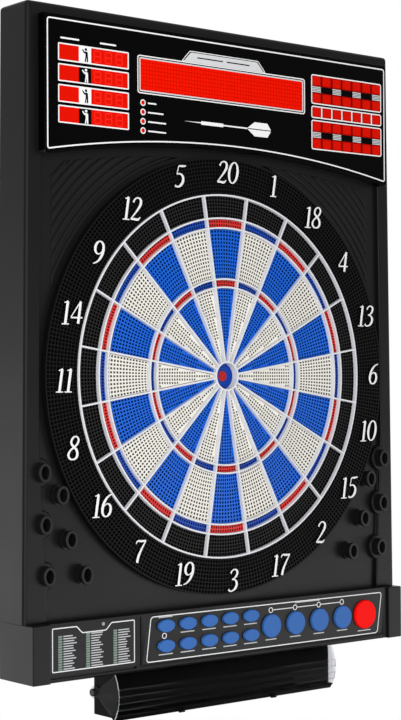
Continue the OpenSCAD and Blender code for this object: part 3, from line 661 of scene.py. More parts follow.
class DARTBOARD_OT_stage(Operator):
    """Floor, light and camera"""

    bl_idname = "dartboard.stage"
    bl_label = "Stage"

    def execute(self, context):
        scene = context.scene
        scene.view_settings.view_transform = "Standard"
        self.floor(scene)
        self.world(scene)
        for name, (place, size, power) in LAMPS.items():
            made = self.lamp(scene, name, place, size, power)
            made.visible_diffuse = name != "key_light"
            made.visible_transmission = False
        self.camera(scene)
        return {"FINISHED"}

    def floor(self, scene):
        bm = bmesh.new()
        bmesh.ops.create_circle(bm, cap_ends=True, segments=96, radius=FLOOR_RADIUS)
        bmesh.ops.translate(bm, verts=bm.verts, vec=FLOOR_PLACE)
        mesh = bpy.data.meshes.new("floor")
        bm.to_mesh(mesh)
        bm.free()
        made, tree, shader = shader_material("pale_floor", FLOOR_TONE, 0.8)
        tone_range(tree, shader, noise(tree, 3), FLOOR_TONE, 0.01)
        seen = tree.nodes.new("ShaderNodeNewGeometry")
        through = tree.nodes.new("ShaderNodeBsdfTransparent")
        mix = tree.nodes.new("ShaderNodeMixShader")
        tree.links.new(seen.outputs["Backfacing"], mix.inputs["Fac"])
        tree.links.new(shader.outputs["BSDF"], mix.inputs[1])
        tree.links.new(through.outputs["BSDF"], mix.inputs[2])
        tree.links.new(mix.outputs["Shader"], tree.nodes["Material Output"].inputs["Surface"])
        mesh.materials.append(made)
        floor = bpy.data.objects.new("floor", mesh)
        scene.collection.objects.link(floor)

    def world(self, scene):
        world = bpy.data.worlds.new("studio")
        world.use_nodes = True
        scene.world = world
        tree = world.node_tree
        soft = fill(tree.nodes["Background"], Color=WHITE, Strength=SOFT_LIGHT)
        white = fill(tree.nodes.new("ShaderNodeBackground"), Color=WHITE, Strength=1)
        path = tree.nodes.new("ShaderNodeLightPath")
        shown = path.outputs["Is Camera Ray"]
        for extra in ("Is Glossy Ray", "Is Transmission Ray"):
            either = tree.nodes.new("ShaderNodeMath")
            either.operation = "MAXIMUM"
            tree.links.new(shown, either.inputs[0])
            tree.links.new(path.outputs[extra], either.inputs[1])
            shown = either.outputs["Value"]
        mix = tree.nodes.new("ShaderNodeMixShader")
        tree.links.new(shown, mix.inputs["Fac"])
        tree.links.new(soft.outputs["Background"], mix.inputs[1])
        tree.links.new(white.outputs["Background"], mix.inputs[2])
        tree.links.new(mix.outputs["Shader"], tree.nodes["World Output"].inputs["Surface"])

    def lamp(self, scene, name, place, size, power):
        data = bpy.data.lights.new(name, "AREA")
        data.shape = "ELLIPSE"
        data.size, data.size_y = size
        data.energy = power
        made = bpy.data.objects.new(name, data)
        made.location = place
        made.rotation_mode = "QUATERNION"
        made.rotation_quaternion = (-Vector(place)).to_track_quat("-Z", "Y")
        scene.collection.objects.link(made)
        return made

    def camera(self, scene):
        s = scene.dartboard_camera
        back = Vector((
            math.sin(s.azimuth) * math.cos(s.elevation),
            -math.cos(s.azimuth) * math.cos(s.elevation),
            math.sin(s.elevation),
        ))
        level = Vector((math.cos(s.azimuth), math.sin(s.azimuth), 0))
        rise = back.cross(level)
        right = math.cos(s.roll) * level + math.sin(s.roll) * rise
        up = math.cos(s.roll) * rise - math.sin(s.roll) * level
        data = bpy.data.cameras.new("camera")
        data.lens = s.lens
        data.clip_end = 50
        made = bpy.data.objects.new("camera", data)
        turned = Matrix((right, up, back)).transposed().to_4x4()
        eye = Vector((0, SPIDER_Y, 0)) - s.across * right + s.above * up + s.distance * back
        made.matrix_world = Matrix.Translation(eye) @ turned
        scene.collection.objects.link(made)
        scene.camera = made


# How far the corner ribs lie behind the border, and how near to the outline a point counts as on it
RIB_SINK = 4.4 * MM
ON_OUTLINE = 0.2 * MM


class DARTBOARD_OT_cabinet(Operator):
    """Moulded cabinet front with rounded edges, and the rear cover"""

    bl_idname = "dartboard.cabinet"
    bl_label = "Cabinet"

    def execute(self, context):
        body = moulded_plastic("moulded_black", finishes().body, 0.34, sheen=0.08)
        bm = cad_copy("front_housing")
        low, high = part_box("front_housing")
        rib_y = low.y + RIB_SINK
        top_half = max(v.co.x for v in bm.verts if v.co.z > high.z - NEAR)

        def on_edge(co):
            half = high.x + (top_half - high.x) * (co.z - low.z) / (high.z - low.z)
            return abs(co.x) > half - ON_OUTLINE or co.z > high.z - ON_OUTLINE

        def corner(co):
            return abs(co.x) > top_half - ON_OUTLINE and co.z > high.z - ON_OUTLINE

        def in_front(co):
            return co.y < low.y + 2 * NEAR

        round_edges(bm, lambda co: on_edge(co) and (in_front(co) or corner(co)), CABINET_EDGE)
        round_edges(bm, lambda co: in_front(co) and not on_edge(co), BORDER_EDGE)
        round_edges(bm, lambda co: abs(co.y - rib_y) < 2 * NEAR, RIB_EDGE)
        add_piece("front_housing_moulding", bm, "cabinet", [body], ["front_housing"], "black_body", even=True)
        dress("rear_cover", body)
        return {"FINISHED"}


# Painted shade in the dart holes: tone of their walls and floors as a share of their bed's
HOLE_PAINTED_SHADE = 0.22
# Inner single, triple, outer single, double: shares of the holes' pitch across and along, and of their width
HOLE_SHARES = ((0.95, 0.91, 1), (0.86, 0.86, 0.8), (0.95, 1.09, 1), (0.86, 0.86, 0.8))
# Holes round each bull, rows from its middle out, and the rim by its edges
BULL_HOLES = {"outer_bull": 28, "inner_bull": 16}
BULL_ROWS = 3
BULL_RIM = 0.4


class DARTBOARD_OT_beds(Operator):
    """Perforated beds and the bull, each on its own slide"""

    bl_idname = "dartboard.beds"
    bl_label = "Beds"

    def execute(self, context):
        f, t = finishes(), context.scene.dartboard_target
        satin_and_painted_shade = {}
        for name in ("blue", "deep_blue", "cream", "red"):
            tone, bed = getattr(f, name), f"bed_{name}"
            hole_painted_shade = f"{bed}_shade"
            satin_and_painted_shade[bed] = moulded_plastic(bed, tone, 0.42, 500, 0.04, 0.05, 0.15)
            # Darker copy of each bed's plastic for its holes' walls and floors: painted shade
            satin_and_painted_shade[hole_painted_shade] = moulded_plastic(hole_painted_shade, scaled(tone, HOLE_PAINTED_SHADE), 0.42, sheen=0.02)
        sizes = (t.hole_pitch, t.hole_pitch, t.hole_width)
        for k, number in enumerate(NUMBERS):
            bm = bmesh.new()
            for i, (inner, outer) in enumerate(BED_RADII):
                across, along, hole = [share * size / MM for share, size in zip(HOLE_SHARES[i], sizes)]
                narrow = i % 2
                # The holes take the painted shade at index 2 or 3
                cell = cell_sheet(
                    inner, outer, BED_GAP, across, along, hole, t.hole_depth, narrow, 2 + narrow, fanned=i > 0
                )
                close_back(cell, BED_Y, BED_BACK_Y)
                join(bm, turn(cell, k))
            even = k % 2 == 0
            pair = ("bed_blue", "bed_red") if even else ("bed_cream", "bed_deep_blue")
            pair += tuple(name + "_shade" for name in pair)
            add_piece(
                f"bed_{number}_perforated", oriented(bm), f"bed_{number}", [satin_and_painted_shade[p] for p in pair],
                [f"bed_{number}"], "bed_blue" if even else "bed_cream",
            )
        hole = t.bull_hole / MM
        for node, finish, slot, inner, outer in (
            ("outer_bull", "bed_deep_blue", "bed_blue", BULL_R + BED_GAP, BULL_RING - BLADE / 2 - BED_GAP),
            ("inner_bull", "bed_red", "bed_red", hole / 2, BULL_R),
        ):
            pitch = (outer - inner) / BULL_ROWS
            bm = polar_sheet(inner, outer, 1, BULL_HOLES[node], pitch, hole, t.hole_depth, BULL_RIM)
            add_piece(f"{node}_face", close_ring(bm, BULL_Y, BED_BACK_Y), node, [satin_and_painted_shade[finish]], [node], slot)
        return {"FINISHED"}


# Width of a pad's holes as a share of their pitch
PAD_HOLE = 0.55


class DARTBOARD_OT_catch_pads(Operator):
    """Perforated black pads outside the double ring"""

    bl_idname = "dartboard.catch_pads"
    bl_label = "Catch Pads"

    def execute(self, context):
        t = context.scene.dartboard_target
        finish = moulded_plastic("pad_black", finishes().pad, 0.5, 600, sheen=0.05)
        # Gloss black for the walls and floors of the pads' holes: painted shade
        hole_painted_shade = moulded_plastic("pad_hole_painted_shade", finishes().gloss, 0.5, 600, sheen=0.02)
        pitch = t.hole_pitch / MM
        bm = bmesh.new()
        for k in range(len(NUMBERS)):
            cell = cell_sheet(*RINGS[-2:], PAD_GAP, pitch, pitch, PAD_HOLE * pitch, t.hole_depth, 0, 1)
            close_back(cell, PAD_Y, PAD_BACK_Y)
            join(bm, turn(cell, k))
        looks = [finish, hole_painted_shade]
        add_piece("catch_pads_perforated", oriented(bm), "cabinet", looks, ["catch_pads"], "black_trim")
        return {"FINISHED"}


# Depth of the number ring's holes, the rim by its edges in millimetres, and how far its back lies in
RING_HOLE_DEPTH = 5 * MM
RING_RIM = 1.2
RING_BACK = 2 * MM
# Numerals that stand off their even places, to the right and up in millimetres
NUMERAL_NUDGES = {
    4: (-5, -1), 18: (-3, -1), 12: (-3, -4), 8: (-2, -2), 2: (4, 1), 10: (2, 3), 14: (-1, -2), 5: (0, 3),
    16: (3, 0), 17: (2, 0), 7: (1, -2), 19: (0, 2), 9: (2, -2), 11: (-1, -2), 13: (0, -1), 1: (-1, 0),
}


class DARTBOARD_OT_number_ring(Operator):
    """Perforated ring and its raised numerals"""

    bl_idname = "dartboard.number_ring"
    bl_label = "Number Ring"

    def execute(self, context):
        t = context.scene.dartboard_target
        trim = moulded_plastic("ring_black", finishes().trim, 0.5, 600, sheen=0.05)
        outer, pitch = RING_R / MM, t.ring_pitch / MM
        count = round((RING_BORE + outer) / 2 * SECTOR / pitch)
        hole = t.ring_hole / MM
        ring = polar_sheet(RING_BORE, outer, len(NUMBERS), count, pitch, hole, RING_HOLE_DEPTH, RING_RIM)
        close_ring(ring, RING_Y, RING_BACK_Y - RING_BACK)
        add_piece("number_ring_perforated", ring, "cabinet", [trim], ["number_ring"], "black_trim")
        figures = bmesh.new()
        for k, number in enumerate(NUMBERS):
            bm = numeral(str(number), t.numeral_height, t.numeral_slant, t.numeral_raise)
            a = SECTOR * k - t.numeral_turn
            aside, higher = [n * MM for n in NUMERAL_NUDGES.get(number, (0, 0))]
            x = t.numeral_across * math.sin(a) + t.numeral_shift + aside
            bmesh.ops.translate(bm, verts=bm.verts, vec=(x, RING_Y, t.numeral_up * math.cos(a) + higher))
            join(figures, bm)
        ink = printed_ink("numeral_white", srgb(224, 224, 224))
        add_piece("numerals", figures, "cabinet", [ink, trim], crease=60)
        return {"FINISHED"}


class DARTBOARD_OT_spider(Operator):
    """Web of rings and blades with softened edges"""

    bl_idname = "dartboard.spider"
    bl_label = "Spider"

    def execute(self, context):
        finish = moulded_plastic("spider_grey", finishes().spider, 0.38, 400, 0.03, 0.03)
        bm = cad_copy("spider")
        edge = context.scene.dartboard_target.spider_edge / MM
        round_edges(bm, lambda co: co.y < SPIDER_Y + NEAR, (edge, 2), clamp=True)
        add_piece("spider_web", bm, "cabinet", [finish], ["spider"], "spider_grey", even=True)
        return {"FINISHED"}


def dress(node, *materials):
    """Gives a node's own mesh its finish."""
    slots = frame["nodes"][node].data.materials
    slots.clear()
    for each in materials:
        slots.append(each)


# How far print, frames and glass stand before their panel or window, and how thick print is in millimetres
INK_LIFT = 0.05 * MM
FRAME_LIFT = 0.5 * MM
GLASS_LIFT = 0.1 * MM
INK = 0.15

# Display in millimetres: rise of its arch and its rounded part, and the white line's distance from the edges
ARCH_RISE, ARCH_ZONE = 26.5, 26
LINE_SIDE, LINE_TOP, LINE_ARCH = 3, 5, 4.8
# Rows of scores: their tops, then the left edge, width and height of a frame and of the sign in it
SCORE_TOPS = [389.3 - 24.3 * i for i in range(4)]
SCORE_FRAME = (-261.35, 103.1, 20.9)
SCORE_SIGN = (-231.5, 17.6, 17.9)
# Strokes of a seven-segment figure, left edge, top, width and height, and where the figures stand
SEGMENTS = [(1, -6.4 * i, 8.4, 1.2) for i in range(3)]
SEGMENTS += [(x, z, 1.2, 5.2) for z in (-1, -7.4) for x in (0, 9.2)]
SEGMENT_LEFTS = [-209.5 + 16 * i for i in range(3)]
# Message window: left edge, top, width and height of its three frames and its lamps, and the tab on it
MESSAGE_FRAMES = ((-145.25, 388.8, 275.1, 46.6), (-143.6, 387.4, 271.8, 43.8), (-142.3, 386.1, 269.2, 41.2))
MESSAGE_LAMPS = (-141, 384.8, 266.6, 38.6)
MESSAGE_TAB = [(-74, 388.6), (58.5, 388.6), (47, 401), (-62, 401)]
MESSAGE_TAB_LINE = [(-77, 388.8), (61.5, 388.8), (48.8, 403), (-63.8, 403)]
MATRIX_PITCH, MATRIX_LINE = 4.7 * MM, 0.5 * MM
# Blocks of marks: top and height of each, and their left edge, width and columns
MARKS = ((396.5, 38.5), (355.0, 15.5), (336.5, 38.5))
MARK_LEFT, MARK_WIDTH, MARK_COLUMNS = 141.55, 129, 7
# Indicator lamps, the bars beside them, the bars over the scores, and the dart sign
LAMP_PLACES = [(-137, 331.2 - 11.3 * i) for i in range(4)]
LAMP_BARS = (13, 24, 28, 28)
SCORE_BARS = ((-258, 27), (-201, 24))
DART_PLACE = (24, 315)


class DARTBOARD_OT_display(Operator):
    """Score display: gloss panel, red windows, lamps and print"""

    bl_idname = "dartboard.display"
    bl_label = "Display"

    def execute(self, context):
        f = finishes()
        self.white = printed_ink("print_white", f.ink)
        self.grey = printed_ink("print_grey", srgb(205, 206, 208))
        self.black = moulded_plastic("panel_gloss_black", f.gloss, 0.2, 200, 0.01, 0.1, 0.02)
        self.red = self.lit("lamp_red", scaled(f.lens, 0.76), 0.25, 0.06)
        bm = cad_copy("display_fascia")
        low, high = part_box("display_fascia")

        def at_side(co):
            return abs(co.x) > high.x - 10 * NEAR

        def outer(co):
            return at_side(co) or co.z > high.z - 10 * NEAR or co.z < low.z + ARCH_ZONE * MM

        for face in round_edges(bm, lambda co: at_side(co) and co.z < low.z + 10 * NEAR, DISPLAY_CORNER):
            face.material_index = 1
        round_edges(bm, lambda co: co.y < FASCIA_Y + NEAR and outer(co), DISPLAY_EDGE)
        looks = [self.black, moulded_plastic("panel_satin_black", f.body, 0.4, sheen=0.4)]
        add_piece("display_panel", bm, "cabinet", looks, ["display_fascia"], "gloss_black", even=True)
        dress("display_lenses", self.red)
        self.outline()
        self.scores()
        self.message()
        self.marks()
        self.lamps()
        return {"FINISHED"}

    def lit(self, name, tone, roughness, swing):
        """Red of a lamp that glows a little."""
        glow = {"Emission_Strength": 0.1, "Emission_Color": (*tone, 1)}
        return moulded_plastic(name, tone, roughness, 300, 0.01, swing, 0.02, **glow)

    def outline(self):
        low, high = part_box("display_fascia")
        half, base = high.x / MM, low.z / MM
        radius = (half**2 + ARCH_RISE**2) / (2 * ARCH_RISE)
        centre = base + ARCH_RISE - radius
        end, top = half - LINE_SIDE, high.z / MM - LINE_TOP
        rows = lines_between(-end, end, 18)
        arch = [(x, centre + math.sqrt((radius + LINE_ARCH) ** 2 - x**2)) for x in rows]
        edge = arch + [(end, top), (-end, top)]
        add_all("display_outline", [flat(edge, FASCIA_Y - INK_LIFT, 4, 1.7, INK)], self.white)

    def scores(self):
        y = LENS_Y - FRAME_LIFT
        shapes = []
        for i, top in enumerate(SCORE_TOPS):
            left, width, height = SCORE_FRAME
            shapes.append(flat(box(left, top + 0.3, width, height), y, 1.2, 1.5, 0.8))
            left, width, height = SCORE_SIGN
            shapes.append(bar(left, top - 1.2, width, height, y + GLASS_LIFT, 0.6, i % 2))
            shapes += self.figure(left + width / 2, top - 10.2, y, 1 - i % 2)
            shapes += self.segments(top - 3.2, LENS_Y - GLASS_LIFT)
        unlit = self.lit("lamp_red_dim", [min(1, c * 1.25 + 0.01) for c in finishes().lens], 0.3, 0.05)
        add_all("score_print", shapes, self.white, self.black, unlit)

    def figure(self, x, z, y, index):
        """Plain pictogram of a standing player."""
        body = [
            (-0.6, -8.4), (1.2, -8.4), (1.7, -2), (2.6, -8.4), (4.4, -8.4), (3.9, 3), (2.2, 4.3), (-0.6, 3.6),
            (-3.6, 6.6), (-4.6, 5.6), (-1.6, 1.8), (0.6, 1.4), (0.6, -1.6),
        ]
        return [
            flat([(x + a, z + b) for a, b in body], y - 0.02 * MM, 0, 0, 0.2, index),
            flat(disc(x + 1.2, z + 6.4, 1.7), y - 0.02 * MM, 0, 0, 0.2, index),
        ]

    def segments(self, z, y):
        """Three unlit seven-segment figures."""
        return [
            bar(left + aside, z + down, width, height, y, 0.2, 2)
            for left in SEGMENT_LEFTS for aside, down, width, height in SEGMENTS
        ]

    def message(self):
        y = LENS_Y - FRAME_LIFT
        wide, middle, inner = [box(*each) for each in MESSAGE_FRAMES]
        shapes = [
            flat(wide, y, 4, 1.4, 0.7),
            flat(middle, y + INK_LIFT, 3, 1.3, 0.65, 2),
            flat(inner, y, 2, 1.6, 0.7, 1),
            flat(MESSAGE_TAB, y, 2, 0, 0.5, 1),
            flat(MESSAGE_TAB_LINE, y + INK_LIFT, 2, 1, 0.4),
        ]
        matrix = grid_lens("matrix_red", finishes().lens, MATRIX_PITCH, MATRIX_LINE)
        add_all("message_matrix", [bar(*MESSAGE_LAMPS, LENS_Y - GLASS_LIFT, 0.2)], matrix, slot="red_lens")
        for left, width in ((-52, 42), (-4, 38)):
            shapes.append(flat(box(left, 396.2, width, 1.5), y - INK_LIFT, 0.6, 0, 0.2, 2))
        add_all("message_print", shapes, self.white, self.grey, self.black)

    def marks(self):
        y = LENS_Y - FRAME_LIFT
        step = MARK_WIDTH / MARK_COLUMNS
        shapes, cells = [], []
        for i, (top, high) in enumerate(MARKS):
            frame_box = box(MARK_LEFT - 0.3, top + 0.3, MARK_WIDTH + 0.6, high + 0.6)
            shapes.append(flat(frame_box, y, 3.2, 1.5, 0.8))
            for c in range(MARK_COLUMNS):
                left = MARK_LEFT + step * c
                if i == 1:
                    if c:
                        shapes.append(bar(left - 0.9, top - 1, 1.8, high - 2, y, 0.6))
                    rows = ((top - 1.6, high - 3.2),)
                else:
                    if c:
                        shapes.append(bar(left - 0.5, top - 1, 1, high - 2, y + GLASS_LIFT, 0.5, 1))
                    strip = top - high / 2 + 4.4
                    shapes.append(bar(left, strip, step, 8.8, y + 0.12 * MM, 0.5, 1))
                    for row in range(4 if c % 2 == 0 else 0):
                        shapes.append(bar(left + 1.6, strip - 0.8 - 2 * row, step - 3.2, 1.2, y, 0.3, 2))
                    rows = ((top - 1.6, 12.8), (top - high / 2 - 4.9, 12.8))
                for z, h in rows:
                    cells.append(self.prism(left + 1.2, z, step - 2.4, h))
                    shapes += self.crossed(left + 1.2, z, step - 2.4, h)
        # Two darker reds for the lamp cells' borders and diagonals: painted shade
        looks = [self.white, self.black, self.grey, self.shaded(0.42), self.shaded(0.75)]
        add_all("mark_print", shapes, *looks)
        add_all("mark_lamps", cells, self.red, slot="red_lens", crease=5)

    def shaded(self, share):
        """Darker red painted on the lines of a lamp cell as shade."""
        tone = scaled(finishes().lens, share)
        return moulded_plastic(f"cell_painted_shade_red_{share}", tone, 0.3, 300, 0.01, 0.05, 0)

    def crossed(self, left, top, width, height):
        """Painted shade of a lamp cell: a dark border for the shade at its edges and two diagonals for the
        shaded facets of its point.
        """
        y, thin = LENS_Y - 0.45 * MM, 0.35
        right, base = left + width, top - height
        falling = [(left, top - thin), (left + thin, top), (right, base + thin), (right - thin, base)]
        rising = [(left, base + thin), (left + thin, base), (right, top - thin), (right - thin, top)]
        made = [flat(line, y, 0, 0, 0.1, 4) for line in (falling, rising)]
        return made + [flat(box(left, top, width, height), y - 0.02 * MM, 0, 0.8, 0.1, 3)]

    def prism(self, left, top, width, height):
        """Red lamp cell with a shallow four-sided point."""
        bm = bar(left, top, width, height, LENS_Y - GLASS_LIFT, 0.2)
        front = [f for f in bm.faces if f.normal.y < -0.9]
        bmesh.ops.poke(bm, faces=front, offset=0.35 * MM)
        return bm

    def lamps(self):
        y = FASCIA_Y - INK_LIFT
        domes = [dome(x, FASCIA_Y, z, 2.4, 0.4, 10) for x, z in LAMP_PLACES]
        add_all("indicator_lamps", domes, self.red, slot="red_lens")
        shapes = []
        for (x, z), width in zip(LAMP_PLACES, LAMP_BARS):
            shapes.append(flat(disc(x, z, 4), FASCIA_Y - GLASS_LIFT, 0, 1.3, 0.2))
            shapes.append(flat(box(x + 7.5, z + 0.9, width, 1.8), y, 0.8, 0, INK))
        shapes += [flat(box(left, 396.5, width, 2), y, 0.8, 0, INK) for left, width in SCORE_BARS]
        add_all("display_marks", shapes + self.dart(*DART_PLACE), self.white)

    def dart(self, x, z):
        """Plain sign of a dart."""
        y = FASCIA_Y - INK_LIFT
        parts = (
            [(-98, 0), (-70, -0.7), (-70, 0.7)],
            [(-70, -2.2), (-34, -2.2), (-34, 2.2), (-70, 2.2)],
            [(-34, -0.9), (6, -0.9), (6, 0.9), (-34, 0.9)],
            [(6, 0.6), (46, 0.6), (40, 9), (18, 9)],
            [(6, -0.6), (18, -9), (40, -9), (46, -0.6)],
        )
        return [flat([(x + a, z + b) for a, b in part], y, 0.4, 0, INK) for part in parts]


# Console print in millimetres: outlines of the list and of the buttons' field, and the dome in its notch
LIST_OUTLINE = [
    (-272.1, -343.5), (-152.3, -343.5), (-152.3, -292), (-187, -292), (-195, -300), (-229, -300),
    (-237, -292), (-272.1, -292),
]
BUTTON_OUTLINE = [(-135.4, -346.3), (258.6, -347.2), (267, -292.6), (-128, -291)]
LIST_DOME = (-198.6, -293)
# Bars of the list: top of the first row, pitch of the rows, and each column's left edge with its bars' widths
LIST_TOP, LIST_PITCH = -301.5, 2.92
LIST_COLUMNS = {
    -263.4: (14, 19, 16, 20, 15, 15, 18, 13, 16, 19, 14, 16, 13, 17),
    -223.8: (18, 17, 14, 12, 15, 18, 13, 16, 19, 15, 18, 13, 17, 18),
    -184: (17, 18, 15, 19, 12, 14, 13, 12, 16, 17, 14, 18, 15, 19),
}
# Plain marks by the buttons: width, and distance below the button's lower edge
CAPTIONS = {"small": (22, 0.4), "large": (19, 0.4), "start": (24, 1.2)}
# How far a lamp stands above a large button's middle, and left of the small buttons' middle
LAMP_RISE, LAMP_ASIDE = 19.8, 2
# How far the console's proud ends reach in
CONSOLE_END = 25 * MM
BUTTONS = [n for n in frame["nodes"] if n.startswith(("small_button", "large_button", "start_button"))]


class DARTBOARD_OT_console(Operator):
    """Console housing, printed plates and their marks"""

    bl_idname = "dartboard.console"
    bl_label = "Console"

    def execute(self, context):
        f = finishes()
        body = moulded_plastic("console_black", f.body, 0.34, sheen=0.08)
        plate = moulded_plastic("plate_black", srgb(13, 13, 14), 0.34, 300, 0.02, 0.06, 0.1)
        low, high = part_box("console_housing")
        bm = cad_copy("console_housing")

        def end(co):
            return abs(co.x) > high.x - CONSOLE_END and co.y < low.y + NEAR

        def outer(co):
            return abs(co.x) > high.x - NEAR and (co.z < low.z + NEAR or co.z > high.z - NEAR)

        round_edges(bm, lambda co: end(co) or outer(co), CONSOLE_EDGE)
        add_piece("console_moulding", bm, "cabinet", [body], ["console_housing"], "black_body", even=True)
        dress("button_plate", plate)
        dress("list_plate", plate)
        self.prints()
        return {"FINISHED"}

    def prints(self):
        white = printed_ink("console_white", srgb(215, 216, 218))
        pale = printed_ink("console_grey", srgb(168, 170, 172))
        green = printed_ink("console_green", srgb(88, 110, 98))
        y = PLATE_Y - INK_LIFT
        shapes = [flat(LIST_OUTLINE, y, 1.6, 1.2, INK), flat(BUTTON_OUTLINE, y, 4.5, 1.2, INK)]
        for left, widths in LIST_COLUMNS.items():
            for row, width in enumerate(widths):
                top = LIST_TOP - LIST_PITCH * row
                shapes.append(bar(left, top, 5.6, 2.2, y, 0.12, 2))
                shapes.append(bar(left + 7.2, top - 0.3, width * 0.95, 1.3, y, 0.12, 1))
        lamps = self.lamps()
        for x, z in lamps:
            shapes.append(flat(disc(x, z, 3.7), y - INK_LIFT, 0, 1.1, 0.2))
        for (x, z), (ahead, _) in zip(lamps[1:], lamps[2:]):
            shapes.append(bar(x + 3.6, z + 0.5, ahead - x - 7.2, 1, y, INK))
        shapes.append(flat(box(lamps[2][0], -293.4, 44, 1.1), y, 0.4, 0, INK, 1))
        for x, z, width in self.captions():
            shapes.append(flat(box(x - width / 2, z, width, 1.3), y, 0.5, 0, INK, 1))
        add_all("console_print", shapes, white, pale, green)
        dark = moulded_plastic("lamp_dark", srgb(40, 26, 26), 0.2, 200, 0.01)
        grey = moulded_plastic("dome_grey", srgb(150, 151, 153), 0.3, 200, 0.01)
        domes = [dome(x, PLATE_Y, z, 2.3, 0.35, 8) for x, z in lamps]
        x, z = LIST_DOME
        add_all("console_lamps", domes + [dome(x, PLATE_Y, z, 2.3, 0.35, 8, 1)], dark, grey)

    def lamps(self):
        """Places of the lamps: one between the rows of small buttons, one above each large button."""
        low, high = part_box("small_button_1")
        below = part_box("small_button_6")[0].z
        places = [((low.x + high.x) / 2 / MM - LAMP_ASIDE, (below + high.z) / 2 / MM)]
        for node in [n for n in BUTTONS if n.startswith("large")]:
            low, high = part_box(node)
            places.append(((low.x + high.x) / 2 / MM, (low.z + high.z) / 2 / MM + LAMP_RISE))
        return places

    def captions(self):
        """Places and widths of the plain marks by the buttons; the first button has its mark above."""
        made = []
        for node in BUTTONS:
            low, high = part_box(node)
            width, drop = CAPTIONS[node.split("_")[0]]
            z = high.z / MM + 2 if node == "small_button_1" else low.z / MM - drop
            made.append(((low.x + high.x) / 2 / MM, z, width))
        return made


class DARTBOARD_OT_buttons(Operator):
    """Push buttons with soft edges, each on its own slide"""

    bl_idname = "dartboard.buttons"
    bl_label = "Buttons"

    def execute(self, context):
        f = finishes()
        blue = moulded_plastic("button_blue", f.button, 0.32, 350, 0.02, 0.04, 0.04)
        red = moulded_plastic("button_red", f.start, 0.3, 350, 0.02, 0.04, 0.02)
        for node in BUTTONS:
            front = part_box(node)[0].y
            bm = cad_copy(node)
            round_edges(bm, lambda co: co.y < front + NEAR, BUTTON_EDGE)
            start = node == "start_button"
            add_piece(
                f"{node}_cap", bm, node, [red if start else blue], [node],
                "button_red" if start else "button_blue", even=True,
            )
        return {"FINISHED"}


class DARTBOARD_OT_dart_holders(Operator):
    """Push-in dart cups with soft rims"""

    bl_idname = "dartboard.dart_holders"
    bl_label = "Dart Holders"

    def execute(self, context):
        finish = moulded_plastic("holder_black", finishes().body, 0.4, 500, sheen=0.12)
        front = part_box("dart_holders")[0].y
        bm = cad_copy("dart_holders")
        round_edges(bm, lambda co: co.y < front + NEAR, HOLDER_EDGE)
        add_piece("dart_cups", bm, "cabinet", [finish], ["dart_holders"], "black_trim", even=True)
        return {"FINISHED"}


# How far the visor's grip bars stand out
GRIP_HEIGHT = 1 * MM
# How far the visor's dark lip rises over the tray's underside
VISOR_LIP = 4 * MM


class DARTBOARD_OT_tray(Operator):
    """Accessory tray, its clear visor and the pivot screws"""

    bl_idname = "dartboard.tray"
    bl_label = "Accessory Tray"

    def execute(self, context):
        f = finishes()
        body = moulded_plastic("tray_black", f.trim, 0.5, sheen=0.02)
        bm = cad_copy("accessory_tray")
        low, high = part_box("accessory_tray")
        round_edges(bm, lambda co: abs(co.x) > high.x - NEAR and co.z < high.z - NEAR, TRAY_EDGE)
        add_piece("tray_moulding", bm, "cabinet", [body], ["accessory_tray"], "black_body", even=True)
        self.visor(f.smoke)
        bm = cad_copy("pivot_screws")
        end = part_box("pivot_screws")[1].x
        round_edges(bm, lambda co: abs(co.x) > end - NEAR, SCREW_EDGE)
        screw = moulded_plastic("screw_black", srgb(34, 34, 36), 0.35, 500)
        add_piece("pivot_knobs", bm, "cabinet", [screw], ["pivot_screws"], "black_screw", even=True)
        return {"FINISHED"}

    def visor(self, tone):
        """Clear cover; its milky end rims are a painted highlight and its darker, less clear grip bars are
        painted shade.
        """
        low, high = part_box("visor")
        swing = next(j for j in frame["record"]["behaviour"]["joints"] if j["name"] == "visor_swing")
        _, pivot_y, pivot_z = swing["pos_m"]
        reach = pivot_y - low.y - GRIP_HEIGHT

        def away(co):
            return math.hypot(co.y - pivot_y, co.z - pivot_z)

        def look(face):
            """Number of a face's finish: sheet, grip bar, dark lip or cheek."""
            middle = face.calc_center_median()
            if middle.z < lip_top:
                return 3
            if abs(middle.x) > high.x - NEAR:
                return 4
            return 1 if away(middle) > reach + 0.1 * MM else 0

        bm = cad_copy("visor")
        # The rounded end rims take the milky finish, a painted highlight
        for side in (-1, 1):
            rim = round_edges(
                bm, lambda co: side * co.x > high.x - NEAR and away(co) > reach - 0.2 * MM, VISOR_EDGE
            )
            for face in rim:
                face.material_index = 2
        lip_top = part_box("accessory_tray")[0].z + VISOR_LIP
        cut(bm, (0, 0, lip_top), (0, 0, 1))
        for face in bm.faces:
            face.material_index = face.material_index or look(face)
        clear = clear_plastic("visor_clear", tone, 1)
        # Grip bars: a darker, less clear copy of the sheet, painted shade
        bars = clear_plastic("visor_bars_painted_shade", scaled(tone, 0.75), 0.965)
        cheeks = clear_plastic("visor_cheeks", tone, 0.985)
        # End rims: half clear and milky, a painted highlight
        edges = clear_plastic("visor_rims_painted_highlight", tone, 0.5)
        lip = moulded_plastic("visor_lip", finishes().gloss, 0.4, 500, sheen=0.02)
        add_piece("visor_cover", bm, "visor", [clear, bars, edges, lip, cheeks], ["visor"], "clear_smoke", 40)


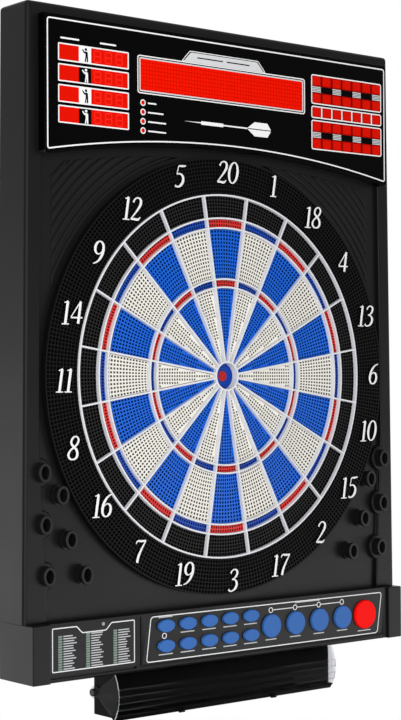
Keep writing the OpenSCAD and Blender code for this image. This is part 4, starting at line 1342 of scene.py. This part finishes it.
class DARTBOARD_OT_inner_pieces(Operator):
    """Finishes of the pieces inside and behind the cabinet"""

    bl_idname = "dartboard.inner_pieces"
    bl_label = "Inner Pieces"

    def execute(self, context):
        board = circuit_board("circuit_green")
        for node in ("display_board", "button_board", "main_board"):
            dress(node, board)
        dress("sensor_film", moulded_plastic("film_amber", srgb(196, 160, 96), 0.3, 200))
        dress("backing_pad", moulded_plastic("foam_black", srgb(52, 52, 56), 0.9, 300, 0.4))
        dress("backing_plate", hardboard("hardboard_brown"))
        dress("speaker", moulded_plastic("speaker_grey", srgb(62, 62, 66), 0.45, 600))
        dress("power_socket", moulded_plastic("socket_black", srgb(20, 20, 22), 0.4, 600))
        dress("housing_screws", brushed_metal("screw_steel", srgb(170, 172, 176), 0.35))
        return {"FINISHED"}


class DARTBOARD_PT_panel(Panel):
    """Lists the pieces and the settings"""

    bl_label = "Dartboard"
    bl_idname = "DARTBOARD_PT_panel"
    bl_space_type = "VIEW_3D"
    bl_region_type = "UI"
    bl_category = "Dartboard"

    def draw(self, context):
        column = self.layout.column()
        for each in OPERATORS:
            column.operator(each.bl_idname)
        for name, group in SETTINGS:
            for each in group.__annotations__:
                column.prop(getattr(context.scene, name), each)


SETTINGS = (
    ("dartboard_target", TargetSettings),
    ("dartboard_finish", FinishSettings),
    ("dartboard_camera", CameraSettings),
)
OPERATORS = (
    DARTBOARD_OT_stage, DARTBOARD_OT_cabinet, DARTBOARD_OT_beds, DARTBOARD_OT_catch_pads,
    DARTBOARD_OT_number_ring, DARTBOARD_OT_spider, DARTBOARD_OT_display, DARTBOARD_OT_console,
    DARTBOARD_OT_buttons, DARTBOARD_OT_dart_holders, DARTBOARD_OT_tray, DARTBOARD_OT_inner_pieces,
)


def register():
    for name, group in SETTINGS:
        bpy.utils.register_class(group)
        setattr(bpy.types.Scene, name, PointerProperty(type=group))
    for each in (*OPERATORS, DARTBOARD_PT_panel):
        bpy.utils.register_class(each)


def unregister():
    for each in (DARTBOARD_PT_panel, *reversed(OPERATORS)):
        bpy.utils.unregister_class(each)
    for name, group in reversed(SETTINGS):
        delattr(bpy.types.Scene, name)
        bpy.utils.unregister_class(group)


def main():
    register()
    bpy.ops.dartboard.stage()
    bpy.ops.dartboard.cabinet()
    bpy.ops.dartboard.beds()
    bpy.ops.dartboard.catch_pads()
    bpy.ops.dartboard.number_ring()
    bpy.ops.dartboard.spider()
    bpy.ops.dartboard.display()
    bpy.ops.dartboard.console()
    bpy.ops.dartboard.buttons()
    bpy.ops.dartboard.dart_holders()
    bpy.ops.dartboard.tray()
    bpy.ops.dartboard.inner_pieces()


if __name__ == "__main__":
    main()
